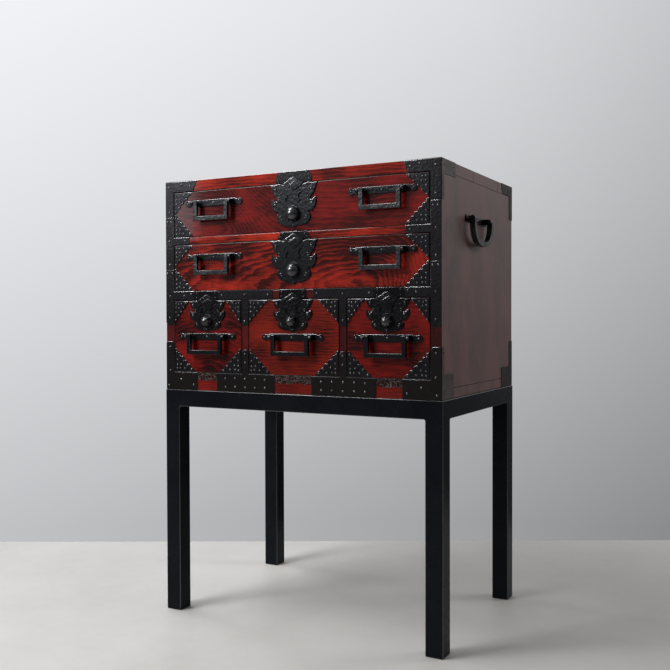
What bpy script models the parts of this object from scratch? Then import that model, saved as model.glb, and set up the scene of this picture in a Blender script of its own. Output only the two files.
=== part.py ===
"""A tansu chest of five drawers with iron fittings, standing on a square-tube steel stand.

Metres, +Z up. The origin is on the floor, under the middle of the object's box. +X is to the right of
someone who faces the drawers, and the drawers open towards -Y.
"""

import math

import bmesh
import bpy
from mathutils import Matrix, Vector

# Clearances
SEAT = 0.0002  # between pieces that are glued, nailed or stood on one another
WELD_GAP = 0.0002  # left at each welded face of the stand
DRAWER_SIDE_GAP = 0.001
DRAWER_TOP_GAP = 0.0012
DRAWER_REST_GAP = 0.0003
DRAWER_STOP_GAP = 0.0005  # between a shut drawer and the back board
PIN_GAP = 0.0003  # round a bail's pin in its eye
EYE_GAP = 0.0005  # between a bail's limb and the eye beside it
BOSS_GAP = 0.0004  # round a lock's boss
BOLT_GAP = 0.0003  # round a lock's bolt

# Stand
STAND_HEIGHT = 0.505
STAND_OVERHANG = 0.003  # past each side of the chest
TUBE = 0.038
TUBE_WALL = 0.002
FOOT_PLATE = 0.003

# Carcass
CHEST_WIDTH = 0.670
CHEST_DEPTH = 0.455
TOP_BOARD = 0.024
SIDE_BOARD = 0.023
BACK_BOARD = 0.010
BOTTOM_RAIL = 0.040
MIDDLE_RAIL = 0.020
UPPER_RAIL = 0.016
RAIL_DEPTH = 0.040
DUST_BOARD = 0.010
DIVIDER = 0.017
DIVIDER_OFFSET = 0.120  # from the chest's middle to the middle of a divider
FIRST_OPENING = 0.1025
SECOND_OPENING = 0.1055
LOWER_OPENING = 0.162

# Drawers
DRAWER_FRONT = 0.018
BOX_WALL = 0.009
BOX_FLOOR = 0.007
BOX_DROP = 0.010  # from the top edge of a front down to its box's walls

# Locks
LOCK_PLATE = 0.002
LOCK_PLATE_INSET = 0.001  # below the top edge of the drawer front
LOZENGE_HALF_WIDTH = 0.028
LOZENGE_HALF_HEIGHT = 0.0145
LOZENGE_THICK = 0.002
LOZENGE_LAP = 0.0004  # how far the lozenge is let into its plate
BOLT_WIDTH = 0.022
BOLT_THICK = 0.006
BOLT_SINK = 0.001  # an open bolt stays this far below the front's top edge
BOLT_TRAVEL = 0.008
MORTISE_SPARE = 0.002  # above a thrown bolt
LOCK_WOOD = 0.006  # left between a bolt's slot and the pocket of its boss
BOSS_TRAVEL = 0.004
POCKET_SPARE = 0.0005  # behind a boss that is pushed right in
UPPER_LOCK_MARGIN = 0.006  # between the tip of an upper lock and the lower edge of its drawer
UPPER_LOCK_DROP = min(FIRST_OPENING, SECOND_OPENING) - DRAWER_TOP_GAP - DRAWER_REST_GAP - UPPER_LOCK_MARGIN
LOWER_LOCK_DROP = 0.070  # from the drawer's top edge to the lock's tip
UPPER_LOCK = {"drop": UPPER_LOCK_DROP, "half_width": 0.0575, "below_boss": 0.030, "boss_radius": 0.0155,
              "boss_rise": 0.017}
LOWER_LOCK = {"drop": LOWER_LOCK_DROP, "half_width": 0.050, "below_boss": 0.023, "boss_radius": 0.014,
              "boss_rise": 0.016}

# The upper drawers' locks and handles sit a little to the right of the middle
UPPER_FITTINGS_OFFSET = 0.004

# Drawer handles
HANDLE_FROM_END = 0.107  # from the end of an upper drawer's opening to the middle of a handle
HANDLE_RAISE = 0.022  # above the middle of an upper drawer's opening
HANDLE_BELOW_LOCK = 0.003  # between the tip of a lower lock and the handle under it
HANDLE = {"length": 0.152, "height": 0.0145, "neck": 0.0105, "thick": 0.0025, "pivot_out": 0.013,
          "eye_width": 0.006, "eye_radius": 0.005, "pin_radius": 0.0025}
BAIL_WIDTH = 0.092
BAIL_DROP = 0.0395  # from the pivot to the underside
BAIL_BAR = 0.0095
BAIL_DEPTH = 0.007

# Side handles
SIDE_HANDLE_FROM_FRONT = 0.199
SIDE_HANDLE_HEIGHT = 0.367  # pivot, above the chest's underside
SIDE_HANDLE = {"length": 0.136, "height": 0.016, "neck": 0.012, "thick": 0.0025, "pivot_out": 0.0135,
               "eye_width": 0.008, "eye_radius": 0.006, "pin_radius": 0.003}
SIDE_BAIL_WIDTH = 0.120
SIDE_BAIL_DROP = 0.056
SIDE_BAIL_STRAP = 0.012
SIDE_BAIL_THICK = 0.010
SIDE_BAIL_SQUARENESS = 2.6  # exponent of the bail's rounded outline: 2 is an ellipse, more is squarer

# Facets of round shapes
BOSS_SEGMENTS = 20
BOSS_RINGS = 5
HOLE_SEGMENTS = 12
ARC_STEPS = 6
SIDE_BAIL_STEPS = 32
CUT_SPARE = 0.002  # how far a cutter runs past the surface that it opens

# Heights of the chest's parts above the floor
CHEST_BOTTOM = STAND_HEIGHT + SEAT
LOWER_FLOOR = CHEST_BOTTOM + BOTTOM_RAIL
MIDDLE_RAIL_BOTTOM = LOWER_FLOOR + LOWER_OPENING
SECOND_FLOOR = MIDDLE_RAIL_BOTTOM + MIDDLE_RAIL
UPPER_RAIL_BOTTOM = SECOND_FLOOR + SECOND_OPENING
FIRST_FLOOR = UPPER_RAIL_BOTTOM + UPPER_RAIL
TOP_BOARD_BOTTOM = FIRST_FLOOR + FIRST_OPENING
CHEST_TOP = TOP_BOARD_BOTTOM + TOP_BOARD

# The object's box is centred on the origin, with the fittings that stand proud of the chest's front
FRONT_REACH = max(
    SEAT + LOCK_PLATE + max(UPPER_LOCK["boss_rise"], LOWER_LOCK["boss_rise"]),
    HANDLE["pivot_out"] + max(BAIL_DEPTH / 2, HANDLE["eye_radius"]),
)
FRONT = (FRONT_REACH - CHEST_DEPTH) / 2
BACK = FRONT + CHEST_DEPTH
INNER_BACK = BACK - BACK_BOARD
INNER_SIDE = CHEST_WIDTH / 2 - SIDE_BOARD
BOLT_MIDDLE = FRONT + DRAWER_FRONT / 2
BOSS_TAIL = DRAWER_FRONT / 2  # a boss's straight part behind the drawer's face


def principled(name, colour, roughness, metallic):
    made = bpy.data.materials.new(name)
    made.use_nodes = True
    shader = made.node_tree.nodes["Principled BSDF"]
    shader.inputs["Base Color"].default_value = (*colour, 1.0)
    shader.inputs["Roughness"].default_value = roughness
    shader.inputs["Metallic"].default_value = metallic
    made.diffuse_color = (*colour, 1.0)
    return made


def box(low, high):
    """A block between two corners."""
    shape = bmesh.new()
    low, high = Vector(low), Vector(high)
    place_and_size = Matrix.Translation((low + high) / 2) @ Matrix.Diagonal((*(high - low), 1.0))
    bmesh.ops.create_cube(shape, size=1.0, matrix=place_and_size)
    return shape


def prism(outline, front, back):
    """An outline of (x, z) points made solid from y = front to y = back."""
    shape = bmesh.new()
    face = shape.faces.new([shape.verts.new((x, front, z)) for x, z in outline])
    grown = bmesh.ops.extrude_face_region(shape, geom=[face])
    moved = [item for item in grown["geom"] if isinstance(item, bmesh.types.BMVert)]
    bmesh.ops.translate(shape, vec=(0.0, back - front, 0.0), verts=moved)
    bmesh.ops.recalc_face_normals(shape, faces=shape.faces)
    return shape


def rod(radius, low_x, high_x, segments):
    """A round bar along X, on the X axis."""
    shape = bmesh.new()
    lie_down = Matrix.Translation(((low_x + high_x) / 2, 0.0, 0.0)) @ Matrix.Rotation(math.pi / 2, 4, "Y")
    bmesh.ops.create_cone(shape, cap_ends=True, segments=segments, radius1=radius, radius2=radius,
                          depth=high_x - low_x, matrix=lie_down)
    return shape


def turned(profile, segments):
    """A profile of (radius, y) points that starts and ends on the Y axis, turned round that axis."""
    shape = bmesh.new()
    points = [shape.verts.new((radius, y, 0.0)) for radius, y in profile]
    edges = [shape.edges.new(pair) for pair in zip(points, points[1:])]
    bmesh.ops.spin(shape, geom=points + edges, cent=(0, 0, 0), axis=(0, 1, 0), angle=2 * math.pi,
                   steps=segments, use_merge=True)
    bmesh.ops.remove_doubles(shape, verts=shape.verts, dist=1e-6)
    bmesh.ops.recalc_face_normals(shape, faces=shape.faces)
    return shape


def arc(centre, radius, start, end):
    """Points round a centre in the XZ plane, between two angles in degrees."""
    points = []
    for step in range(ARC_STEPS + 1):
        angle = math.radians(start + (end - start) * step / ARC_STEPS)
        points.append((centre[0] + radius * math.cos(angle), centre[1] + radius * math.sin(angle)))
    return points


def helper(shape):
    """A hidden object that takes part in a Boolean only."""
    mesh = bpy.data.meshes.new("helper")
    shape.to_mesh(mesh)
    shape.free()
    made = bpy.data.objects.new("helper", mesh)
    made.hide_render = True
    made.display_type = "WIRE"
    bpy.context.scene.collection.objects.link(made)
    return made


def solid(base, joined=(), cut=()):
    """One mesh: the base shape with other shapes joined to it and then some cut out of it."""
    body = helper(base)
    others = []
    for operation, shapes in (("UNION", joined), ("DIFFERENCE", cut)):
        for shape in shapes:
            other = helper(shape)
            others.append(other)
            step = body.modifiers.new(operation.lower(), "BOOLEAN")
            step.operation = operation
            step.solver = "EXACT"
            step.object = other
    bpy.context.view_layer.update()
    evaluated = body.evaluated_get(bpy.context.evaluated_depsgraph_get())
    mesh = bpy.data.meshes.new_from_object(evaluated)
    for used in [body, *others]:
        bpy.data.objects.remove(used)
    return mesh


def anchor(name, place, parent=None):
    """An empty that carries the pieces of one group."""
    made = bpy.data.objects.new(name, None)
    bpy.context.scene.collection.objects.link(made)
    made.parent = parent
    made.location = Vector(place) - (parent.matrix_world.translation if parent else Vector())
    bpy.context.view_layer.update()
    return made


def piece(name, mesh, material, place, parent, turn=0.0, smooth=False):
    """A named sub-part with its origin at a place in the object's frame."""
    made = bpy.data.objects.new(name, mesh)
    bpy.context.scene.collection.objects.link(made)
    if not mesh.materials:
        mesh.materials.append(material)
    if smooth:
        mesh.shade_smooth()
        mesh.set_sharp_from_angle(angle=math.radians(40))
    made.parent = parent
    made.location = Vector(place) - parent.matrix_world.translation
    made.rotation_euler.z = turn
    return made


def board(name, low, high, material, parent, cut=()):
    """A board between two corners, with its origin in its middle."""
    middle = (Vector(low) + Vector(high)) / 2
    for shape in cut:
        bmesh.ops.translate(shape, vec=-middle, verts=shape.verts)
    mesh = solid(box(Vector(low) - middle, Vector(high) - middle), cut=cut)
    return piece(name, mesh, material, middle, parent)


def shelf(name, rail_bottom, top, mortise_places, material, parent):
    """A front rail with a thinner panel behind it, flush on top, and mortises for the bolts below it."""
    half = INNER_SIDE - SEAT
    relief = box((-half - CUT_SPARE, FRONT + RAIL_DEPTH, rail_bottom - CUT_SPARE),
                 (half + CUT_SPARE, BACK, top - DUST_BOARD))
    mortises = [bolt_mortise(x, rail_bottom) for x in mortise_places]
    return board(name, (-half, FRONT, rail_bottom), (half, INNER_BACK - SEAT, top), material, parent,
                 cut=[relief, *mortises])


def bolt_mortise(x, underside):
    """The space above a lock that its thrown bolt enters, cut up from a rail's underside."""
    half_width = BOLT_WIDTH / 2 + BOLT_GAP
    half_thick = BOLT_THICK / 2 + BOLT_GAP
    depth = BOLT_TRAVEL - BOLT_SINK + MORTISE_SPARE
    return box((x - half_width, BOLT_MIDDLE - half_thick, underside - CUT_SPARE),
               (x + half_width, BOLT_MIDDLE + half_thick, underside + depth))


def boss_pocket_radius(lock):
    return lock["boss_radius"] + BOSS_GAP


def boss_drop(lock):
    """From the top edge of a drawer front down to its lock's boss."""
    return lock["drop"] - lock["below_boss"]


def bolt_slot_depth(lock):
    """From the top edge of a drawer front to the floor of the slot over its lock's boss."""
    return boss_drop(lock) - boss_pocket_radius(lock) - LOCK_WOOD


def bolt_length(lock):
    return bolt_slot_depth(lock) - BOLT_SINK - BOLT_GAP


def lock_plate_mesh(lock):
    """An iron plate with ears, lobes and a pointed foot. Its origin is on the boss's axis, at the wood."""
    # Half of the outline, from the ear to the tip, in shares of the plate's half width and of its height
    ear = [(1.0, 0.0), (0.90, 0.105), (0.83, 0.23), (0.68, 0.38)]
    lobe = [(0.925, 0.325), (0.93, 0.45), (0.86, 0.55), (0.62, 0.66)]
    foot = [(0.69, 0.69), (0.69, 0.80), (0.57, 0.895), (0.35, 0.955), (0.14, 0.965), (0.0, 1.0)]
    top = boss_drop(lock) - LOCK_PLATE_INSET
    height = lock["drop"] - LOCK_PLATE_INSET
    right = [(x * lock["half_width"], top - z * height) for x, z in ear + lobe + foot]
    left = [(-x, z) for x, z in reversed(right[:-1])]
    plate = prism(right + left, -SEAT - LOCK_PLATE, -SEAT)
    edge = boss_drop(lock)
    corners = [(LOZENGE_HALF_WIDTH, edge), (0.0, edge - LOZENGE_HALF_HEIGHT),
               (-LOZENGE_HALF_WIDTH, edge), (0.0, edge + LOZENGE_HALF_HEIGHT)]
    lozenge_back = -SEAT - LOCK_PLATE + LOZENGE_LAP
    lozenge = prism(corners, lozenge_back - LOZENGE_LAP - LOZENGE_THICK, lozenge_back)
    radius = boss_pocket_radius(lock)
    hole = turned([(0.0, -LOCK_PLATE - CUT_SPARE), (radius, -LOCK_PLATE - CUT_SPARE),
                   (radius, CUT_SPARE), (0.0, CUT_SPARE)], BOSS_SEGMENTS)
    return solid(plate, joined=[lozenge], cut=[hole])


def lock_boss_mesh(lock):
    """A domed iron boss with a straight tail. Its origin is on its axis, at the drawer's face."""
    radius = lock["boss_radius"]
    base = -SEAT - LOCK_PLATE
    turns = [math.pi / 2 * ring / BOSS_RINGS for ring in range(BOSS_RINGS + 1)]
    dome = [(radius * math.sin(turn), base - lock["boss_rise"] * math.cos(turn)) for turn in turns]
    mesh = bpy.data.meshes.new("lock_boss")
    shape = turned([*dome, (radius, BOSS_TAIL), (0.0, BOSS_TAIL)], BOSS_SEGMENTS)
    shape.to_mesh(mesh)
    shape.free()
    return mesh


def eye_middle(handle, bail_width):
    """From a handle's middle to an eye that stands outside its bail's limb."""
    return bail_width / 2 + EYE_GAP + handle["eye_width"] / 2


def inner_eye_middle(handle, bail_width, limb):
    """From a handle's middle to an eye that stands inside its bail's limb."""
    return bail_width / 2 - limb - EYE_GAP - handle["eye_width"] / 2


def handle_plate_mesh(handle, eye_x):
    """A bulb-ended iron plate with two eyes. Its origin is on the pivot, with the wood at pivot_out."""
    radius = handle["height"] / 2
    half_neck = handle["neck"] / 2
    end = handle["length"] / 2 - radius
    neck_x, shoulder_x = end - radius, end - 2 * radius
    bulb = arc((end, 0.0), radius, 130, -130)
    right = [(shoulder_x, radius), (neck_x, half_neck), *bulb, (neck_x, -half_neck), (shoulder_x, -radius)]
    outline = right + [(-x, -z) for x, z in right]
    plate_back = handle["pivot_out"] - SEAT
    plate_front = plate_back - handle["thick"]
    plate = prism(outline, plate_front, plate_back)
    eyes = []
    for middle in (-eye_x, eye_x):
        low_x, high_x = middle - handle["eye_width"] / 2, middle + handle["eye_width"] / 2
        nose = arc((0.0, 0.0), handle["eye_radius"], 180, 0)
        root = plate_front + handle["thick"] / 2
        section = [*nose, (handle["eye_radius"], -root), (-handle["eye_radius"], -root)]
        eye = prism(section, low_x, high_x)
        # The section is drawn in XZ and pushed along Y; this turn lays it along X with its nose to -Y
        turn = Matrix(((0, 1, 0), (0, 0, -1), (-1, 0, 0)))
        bmesh.ops.transform(eye, matrix=turn.to_4x4(), verts=eye.verts)
        bmesh.ops.recalc_face_normals(eye, faces=eye.faces)
        eyes.append(eye)
    reach = eye_x + handle["eye_width"]
    hole = rod(handle["pin_radius"] + PIN_GAP, -reach, reach, HOLE_SEGMENTS)
    return solid(plate, joined=eyes, cut=[hole])


def bail_mesh():
    """A square iron bail whose ends turn outwards as pins. Its origin is on its pivot."""
    half = BAIL_WIDTH / 2
    inner = half - BAIL_BAR
    top = HANDLE["eye_radius"]
    outline = [(-half, top), (-half, -BAIL_DROP), (half, -BAIL_DROP), (half, top),
               (inner, top), (inner, BAIL_BAR - BAIL_DROP), (-inner, BAIL_BAR - BAIL_DROP), (-inner, top)]
    loop = prism(outline, -BAIL_DEPTH / 2, BAIL_DEPTH / 2)
    pin_end = half + EYE_GAP + HANDLE["eye_width"]
    pins = [rod(HANDLE["pin_radius"], start, end, HOLE_SEGMENTS)
            for start, end in ((half - BAIL_BAR / 2, pin_end), (-pin_end, BAIL_BAR / 2 - half))]
    return solid(loop, joined=pins)


def side_bail_curve(half_width, drop):
    """Points along the lower half of a squared ellipse, from its left end to its right."""
    power = 2 / SIDE_BAIL_SQUARENESS
    points = []
    for step in range(SIDE_BAIL_STEPS + 1):
        angle = math.pi * (1 + step / SIDE_BAIL_STEPS)
        across, down = math.cos(angle), abs(math.sin(angle))
        points.append((math.copysign(half_width * abs(across) ** power, across), -drop * down ** power))
    return points


def side_bail_mesh():
    """A broad iron strap bent to a rounded bail, with round knuckles and pins turned inwards."""
    half = SIDE_BAIL_WIDTH / 2
    inner = half - SIDE_BAIL_THICK
    outer_curve = side_bail_curve(half, SIDE_BAIL_DROP)
    inner_curve = side_bail_curve(inner, SIDE_BAIL_DROP - SIDE_BAIL_THICK)
    loop = prism(outer_curve + inner_curve[::-1], -SIDE_BAIL_STRAP / 2, SIDE_BAIL_STRAP / 2)
    pin_start = inner - EYE_GAP - SIDE_HANDLE["eye_width"]
    pin_end = inner + SIDE_BAIL_THICK / 2
    knuckles = [rod(SIDE_BAIL_STRAP / 2, start, end, 2 * HOLE_SEGMENTS)
                for start, end in ((inner, half), (-half, -inner))]
    pins = [rod(SIDE_HANDLE["pin_radius"], start, end, HOLE_SEGMENTS)
            for start, end in ((pin_start, pin_end), (-pin_end, -pin_start))]
    return solid(loop, joined=knuckles + pins)


def mitred_rail_mesh(length):
    """A square tube along X: its outer face at y = 0, its underside at z = 0, its ends cut at 45 degrees."""
    shape = bmesh.new()
    rings = []
    for inset in (0.0, TUBE_WALL):
        near, far = inset, TUBE - inset
        for side in (-1, 1):
            corners = ((near, near), (far, near), (far, far), (near, far))
            rings.append([shape.verts.new((side * (length / 2 - y - WELD_GAP), y, z)) for y, z in corners])
    outer_left, outer_right, inner_left, inner_right = rings
    for one, other in ((outer_left, outer_right), (inner_left, inner_right),
                       (outer_left, inner_left), (outer_right, inner_right)):
        for index in range(4):
            after = (index + 1) % 4
            shape.faces.new((one[index], one[after], other[after], other[index]))
    bmesh.ops.recalc_face_normals(shape, faces=shape.faces)
    mesh = bpy.data.meshes.new("mitred_rail")
    shape.to_mesh(mesh)
    shape.free()
    return mesh


def build_stand(steel):
    """Four legs under a mitred frame, all of one square tube."""
    stand = anchor("stand", (0.0, 0.0, 0.0))
    half_width = CHEST_WIDTH / 2 + STAND_OVERHANG
    leg_height = STAND_HEIGHT - TUBE - WELD_GAP
    half_tube = TUBE / 2
    bore = half_tube - TUBE_WALL
    leg = solid(box((-half_tube, -half_tube, 0.0), (half_tube, half_tube, leg_height)),
                cut=[box((-bore, -bore, FOOT_PLATE), (bore, bore, leg_height + CUT_SPARE))])
    for end, y in (("front", FRONT + half_tube), ("rear", BACK - half_tube)):
        for side, x in (("left", half_tube - half_width), ("right", half_width - half_tube)):
            piece(f"stand_{end}_{side}_leg", leg, steel, (x, y, 0.0), stand)
    rail_height = STAND_HEIGHT - TUBE
    long_rail = mitred_rail_mesh(2 * half_width)
    short_rail = mitred_rail_mesh(CHEST_DEPTH)
    middle = (FRONT + BACK) / 2
    piece("stand_front_rail", long_rail, steel, (0.0, FRONT, rail_height), stand)
    piece("stand_rear_rail", long_rail, steel, (0.0, BACK, rail_height), stand, turn=math.pi)
    piece("stand_right_rail", short_rail, steel, (half_width, middle, rail_height), stand, turn=math.pi / 2)
    piece("stand_left_rail", short_rail, steel, (-half_width, middle, rail_height), stand, turn=-math.pi / 2)


def build_carcass(lacquer, dark_wood, plain_wood):
    """The chest's fixed boards. Returns the empty that carries them."""
    chest = anchor("chest", (0.0, 0.0, CHEST_BOTTOM))
    half = CHEST_WIDTH / 2
    lower_middles = [(low_x + high_x) / 2 for low_x, high_x in lower_bays()]
    board("top_board", (-half, FRONT, TOP_BOARD_BOTTOM), (half, BACK, CHEST_TOP), lacquer, chest,
          cut=[bolt_mortise(UPPER_FITTINGS_OFFSET, TOP_BOARD_BOTTOM)])
    for side, low_x, high_x in (("left", -half, -INNER_SIDE), ("right", INNER_SIDE, half)):
        board(f"{side}_side_board", (low_x, FRONT, CHEST_BOTTOM), (high_x, BACK, TOP_BOARD_BOTTOM - SEAT),
              dark_wood, chest)
    board("back_board", (-INNER_SIDE + SEAT, INNER_BACK, CHEST_BOTTOM),
          (INNER_SIDE - SEAT, BACK, TOP_BOARD_BOTTOM - SEAT), plain_wood, chest)
    shelf("bottom_board", CHEST_BOTTOM, LOWER_FLOOR, [], lacquer, chest)
    shelf("middle_shelf", MIDDLE_RAIL_BOTTOM, SECOND_FLOOR, lower_middles, lacquer, chest)
    shelf("upper_shelf", UPPER_RAIL_BOTTOM, FIRST_FLOOR, [UPPER_FITTINGS_OFFSET], lacquer, chest)
    for side, middle in (("left", -DIVIDER_OFFSET), ("right", DIVIDER_OFFSET)):
        board(f"{side}_divider", (middle - DIVIDER / 2, FRONT, LOWER_FLOOR + SEAT),
              (middle + DIVIDER / 2, INNER_BACK - SEAT, MIDDLE_RAIL_BOTTOM - SEAT), lacquer, chest)
    return chest


def lower_bays():
    """The left and right limits of the three lower openings."""
    near, far = DIVIDER_OFFSET - DIVIDER / 2, DIVIDER_OFFSET + DIVIDER / 2
    return [(-INNER_SIDE, -far), (-near, near), (far, INNER_SIDE)]


def build_drawer(name, bay, floor, opening, lock, lock_x, handles, meshes, materials):
    """One drawer with its front, box, lock and handles. handles lists (label, x, pivot height)."""
    lacquer, plain_wood, iron = materials
    plate_mesh, boss_mesh, handle_plate, bail = meshes
    low_x, high_x = bay[0] + DRAWER_SIDE_GAP, bay[1] - DRAWER_SIDE_GAP
    low_z, top_z = floor + DRAWER_REST_GAP, floor + opening - DRAWER_TOP_GAP
    boss_z = top_z - boss_drop(lock)
    front_back = FRONT + DRAWER_FRONT
    drawer = anchor(name, ((low_x + high_x) / 2, FRONT, low_z))

    slot_x, slot_y = BOLT_WIDTH / 2 + BOLT_GAP, BOLT_THICK / 2 + BOLT_GAP
    slot = box((lock_x - slot_x, BOLT_MIDDLE - slot_y, top_z - bolt_slot_depth(lock)),
               (lock_x + slot_x, BOLT_MIDDLE + slot_y, top_z + CUT_SPARE))
    radius = boss_pocket_radius(lock)
    pocket_floor = BOSS_TAIL + BOSS_TRAVEL + POCKET_SPARE
    pocket = turned([(0.0, -CUT_SPARE), (radius, -CUT_SPARE), (radius, pocket_floor), (0.0, pocket_floor)],
                    BOSS_SEGMENTS)
    bmesh.ops.translate(pocket, vec=(lock_x, FRONT, boss_z), verts=pocket.verts)
    board(f"{name}_front", (low_x, FRONT, low_z), (high_x, front_back, top_z), lacquer, drawer,
          cut=[slot, pocket])

    box_front, box_back = front_back + SEAT, INNER_BACK - DRAWER_STOP_GAP
    box_top = top_z - BOX_DROP
    inside = box((low_x + BOX_WALL, box_front - CUT_SPARE, low_z + BOX_FLOOR),
                 (high_x - BOX_WALL, box_back - BOX_WALL, box_top + CUT_SPARE))
    board(f"{name}_box", (low_x, box_front, low_z), (high_x, box_back, box_top), plain_wood, drawer,
          cut=[inside])

    piece(f"{name}_lock_plate", plate_mesh, iron, (lock_x, FRONT, boss_z), drawer)
    piece(f"{name}_lock_boss", boss_mesh, iron, (lock_x, FRONT, boss_z), drawer, smooth=True)
    bolt_top = top_z - BOLT_SINK
    board(f"{name}_lock_bolt",
          (lock_x - BOLT_WIDTH / 2, BOLT_MIDDLE - BOLT_THICK / 2, bolt_top - bolt_length(lock)),
          (lock_x + BOLT_WIDTH / 2, BOLT_MIDDLE + BOLT_THICK / 2, bolt_top), iron, drawer)
    for label, x, pivot_z in handles:
        place = (x, FRONT - HANDLE["pivot_out"], pivot_z)
        piece(f"{name}_{label}handle_plate", handle_plate, iron, place, drawer)
        piece(f"{name}_{label}bail", bail, iron, place, drawer)


def build_drawers(lacquer, plain_wood, iron):
    """Two full-width drawers above three narrow ones."""
    materials = (lacquer, plain_wood, iron)
    handle_plate = handle_plate_mesh(HANDLE, eye_middle(HANDLE, BAIL_WIDTH))
    fittings = (handle_plate, bail_mesh())
    upper = (lock_plate_mesh(UPPER_LOCK), lock_boss_mesh(UPPER_LOCK), *fittings)
    lower = (lock_plate_mesh(LOWER_LOCK), lock_boss_mesh(LOWER_LOCK), *fittings)
    full_width = (-INNER_SIDE, INNER_SIDE)
    for name, floor, opening in (("top_drawer", FIRST_FLOOR, FIRST_OPENING),
                                 ("second_drawer", SECOND_FLOOR, SECOND_OPENING)):
        pivot_z = floor + opening / 2 + HANDLE_RAISE
        offset = INNER_SIDE - HANDLE_FROM_END
        lock_x = UPPER_FITTINGS_OFFSET
        handles = [("left_", lock_x - offset, pivot_z), ("right_", lock_x + offset, pivot_z)]
        build_drawer(name, full_width, floor, opening, UPPER_LOCK, lock_x, handles, upper, materials)
    lock_tip = MIDDLE_RAIL_BOTTOM - DRAWER_TOP_GAP - LOWER_LOCK["drop"]
    pivot_z = lock_tip - HANDLE_BELOW_LOCK - HANDLE["height"] / 2
    for side, bay in zip(("left", "middle", "right"), lower_bays()):
        middle = (bay[0] + bay[1]) / 2
        build_drawer(f"lower_{side}_drawer", bay, LOWER_FLOOR, LOWER_OPENING, LOWER_LOCK, middle,
                     [("", middle, pivot_z)], lower, materials)


def build_side_handles(chest, iron):
    """A carrying handle on each side board."""
    eye_x = inner_eye_middle(SIDE_HANDLE, SIDE_BAIL_WIDTH, SIDE_BAIL_THICK)
    plate, bail = handle_plate_mesh(SIDE_HANDLE, eye_x), side_bail_mesh()
    out = CHEST_WIDTH / 2 + SIDE_HANDLE["pivot_out"]
    for side, x, turn in (("left", -out, -math.pi / 2), ("right", out, math.pi / 2)):
        place = (x, FRONT + SIDE_HANDLE_FROM_FRONT, CHEST_BOTTOM + SIDE_HANDLE_HEIGHT)
        piece(f"{side}_side_handle_plate", plate, iron, place, chest, turn=turn)
        piece(f"{side}_side_handle_bail", bail, iron, place, chest, turn=turn, smooth=True)


for old in list(bpy.data.objects):
    bpy.data.objects.remove(old)

red_lacquer = principled("red_lacquer", (0.22, 0.016, 0.010), 0.30, 0.0)
dark_lacquer = principled("dark_lacquer", (0.085, 0.052, 0.048), 0.55, 0.0)
plain_timber = principled("plain_timber", (0.42, 0.28, 0.16), 0.65, 0.0)
black_iron = principled("black_iron", (0.022, 0.023, 0.026), 0.42, 0.8)
black_steel = principled("black_steel", (0.012, 0.013, 0.016), 0.45, 0.2)

build_stand(black_steel)
carcass = build_carcass(red_lacquer, dark_lacquer, plain_timber)
build_side_handles(carcass, black_iron)
build_drawers(red_lacquer, plain_timber, black_iron)
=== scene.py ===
import math
import random

import bmesh
import bpy
from mathutils import Matrix, Vector


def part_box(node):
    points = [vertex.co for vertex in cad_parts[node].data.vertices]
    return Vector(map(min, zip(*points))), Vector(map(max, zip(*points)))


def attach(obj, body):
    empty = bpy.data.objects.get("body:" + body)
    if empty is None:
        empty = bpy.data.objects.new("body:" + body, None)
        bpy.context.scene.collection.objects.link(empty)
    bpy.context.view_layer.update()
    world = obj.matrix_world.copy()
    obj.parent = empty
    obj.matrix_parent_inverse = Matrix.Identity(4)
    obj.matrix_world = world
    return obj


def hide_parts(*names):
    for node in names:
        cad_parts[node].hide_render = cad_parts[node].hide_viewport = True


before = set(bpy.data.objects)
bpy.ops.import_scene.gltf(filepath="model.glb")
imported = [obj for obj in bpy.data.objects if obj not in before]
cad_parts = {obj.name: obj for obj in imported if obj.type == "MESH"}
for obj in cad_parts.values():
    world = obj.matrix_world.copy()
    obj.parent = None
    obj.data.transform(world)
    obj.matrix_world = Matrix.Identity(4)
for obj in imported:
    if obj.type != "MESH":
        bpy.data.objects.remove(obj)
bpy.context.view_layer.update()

# The camera stands where the photograph was taken from: low, to the right of the chest and turned
# towards it. The frame is square.
CAMERA_PLACE = (0.9655, -1.8366, 0.6658)
CAMERA_TURN = math.radians(28.1)
CAMERA_TILT = math.radians(90 - 1.076)
CAMERA_ROLL = math.radians(-0.151)
CAMERA_LENS = 47.94
camera_data = bpy.data.cameras.new("camera")
camera_data.lens = CAMERA_LENS
camera_data.sensor_width = 36
camera = bpy.data.objects.new("camera", camera_data)
camera.matrix_world = (
    Matrix.Translation(CAMERA_PLACE)
    @ Matrix.Rotation(CAMERA_TURN, 4, "Z")
    @ Matrix.Rotation(CAMERA_TILT, 4, "X")
    @ Matrix.Rotation(CAMERA_ROLL, 4, "Z")
)
bpy.context.scene.collection.objects.link(camera)
bpy.context.scene.camera = camera
bpy.context.scene.view_settings.view_transform = "Standard"


# A plain pale floor, one flat sheet with a faintly cloudy paint. Its far edge lies square to the view, well
# behind the stand.
def feed(tree, node, inputs):
    """Sets or links a node's inputs."""
    for key, value in inputs.items():
        if isinstance(value, bpy.types.NodeSocket):
            tree.links.new(value, node.inputs[key])
        else:
            node.inputs[key].default_value = value


def wire(tree, kind, inputs=None, **settings):
    """A new node with its settings made and its inputs set or linked."""
    made = tree.nodes.new(kind)
    for name, value in settings.items():
        setattr(made, name, value)
    feed(tree, made, inputs or {})
    return made


def reckon(tree, operation, first, second=0.0):
    """What a Math node makes of one or two values."""
    return wire(tree, "ShaderNodeMath", {0: first, 1: second}, operation=operation).outputs[0]


def spread(tree, value, low, high, new_low, new_high):
    """A value moved from one range to another and held inside it."""
    inputs = {"Value": value, "From Min": low, "From Max": high, "To Min": new_low, "To Max": new_high}
    return wire(tree, "ShaderNodeMapRange", inputs).outputs["Result"]


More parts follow.
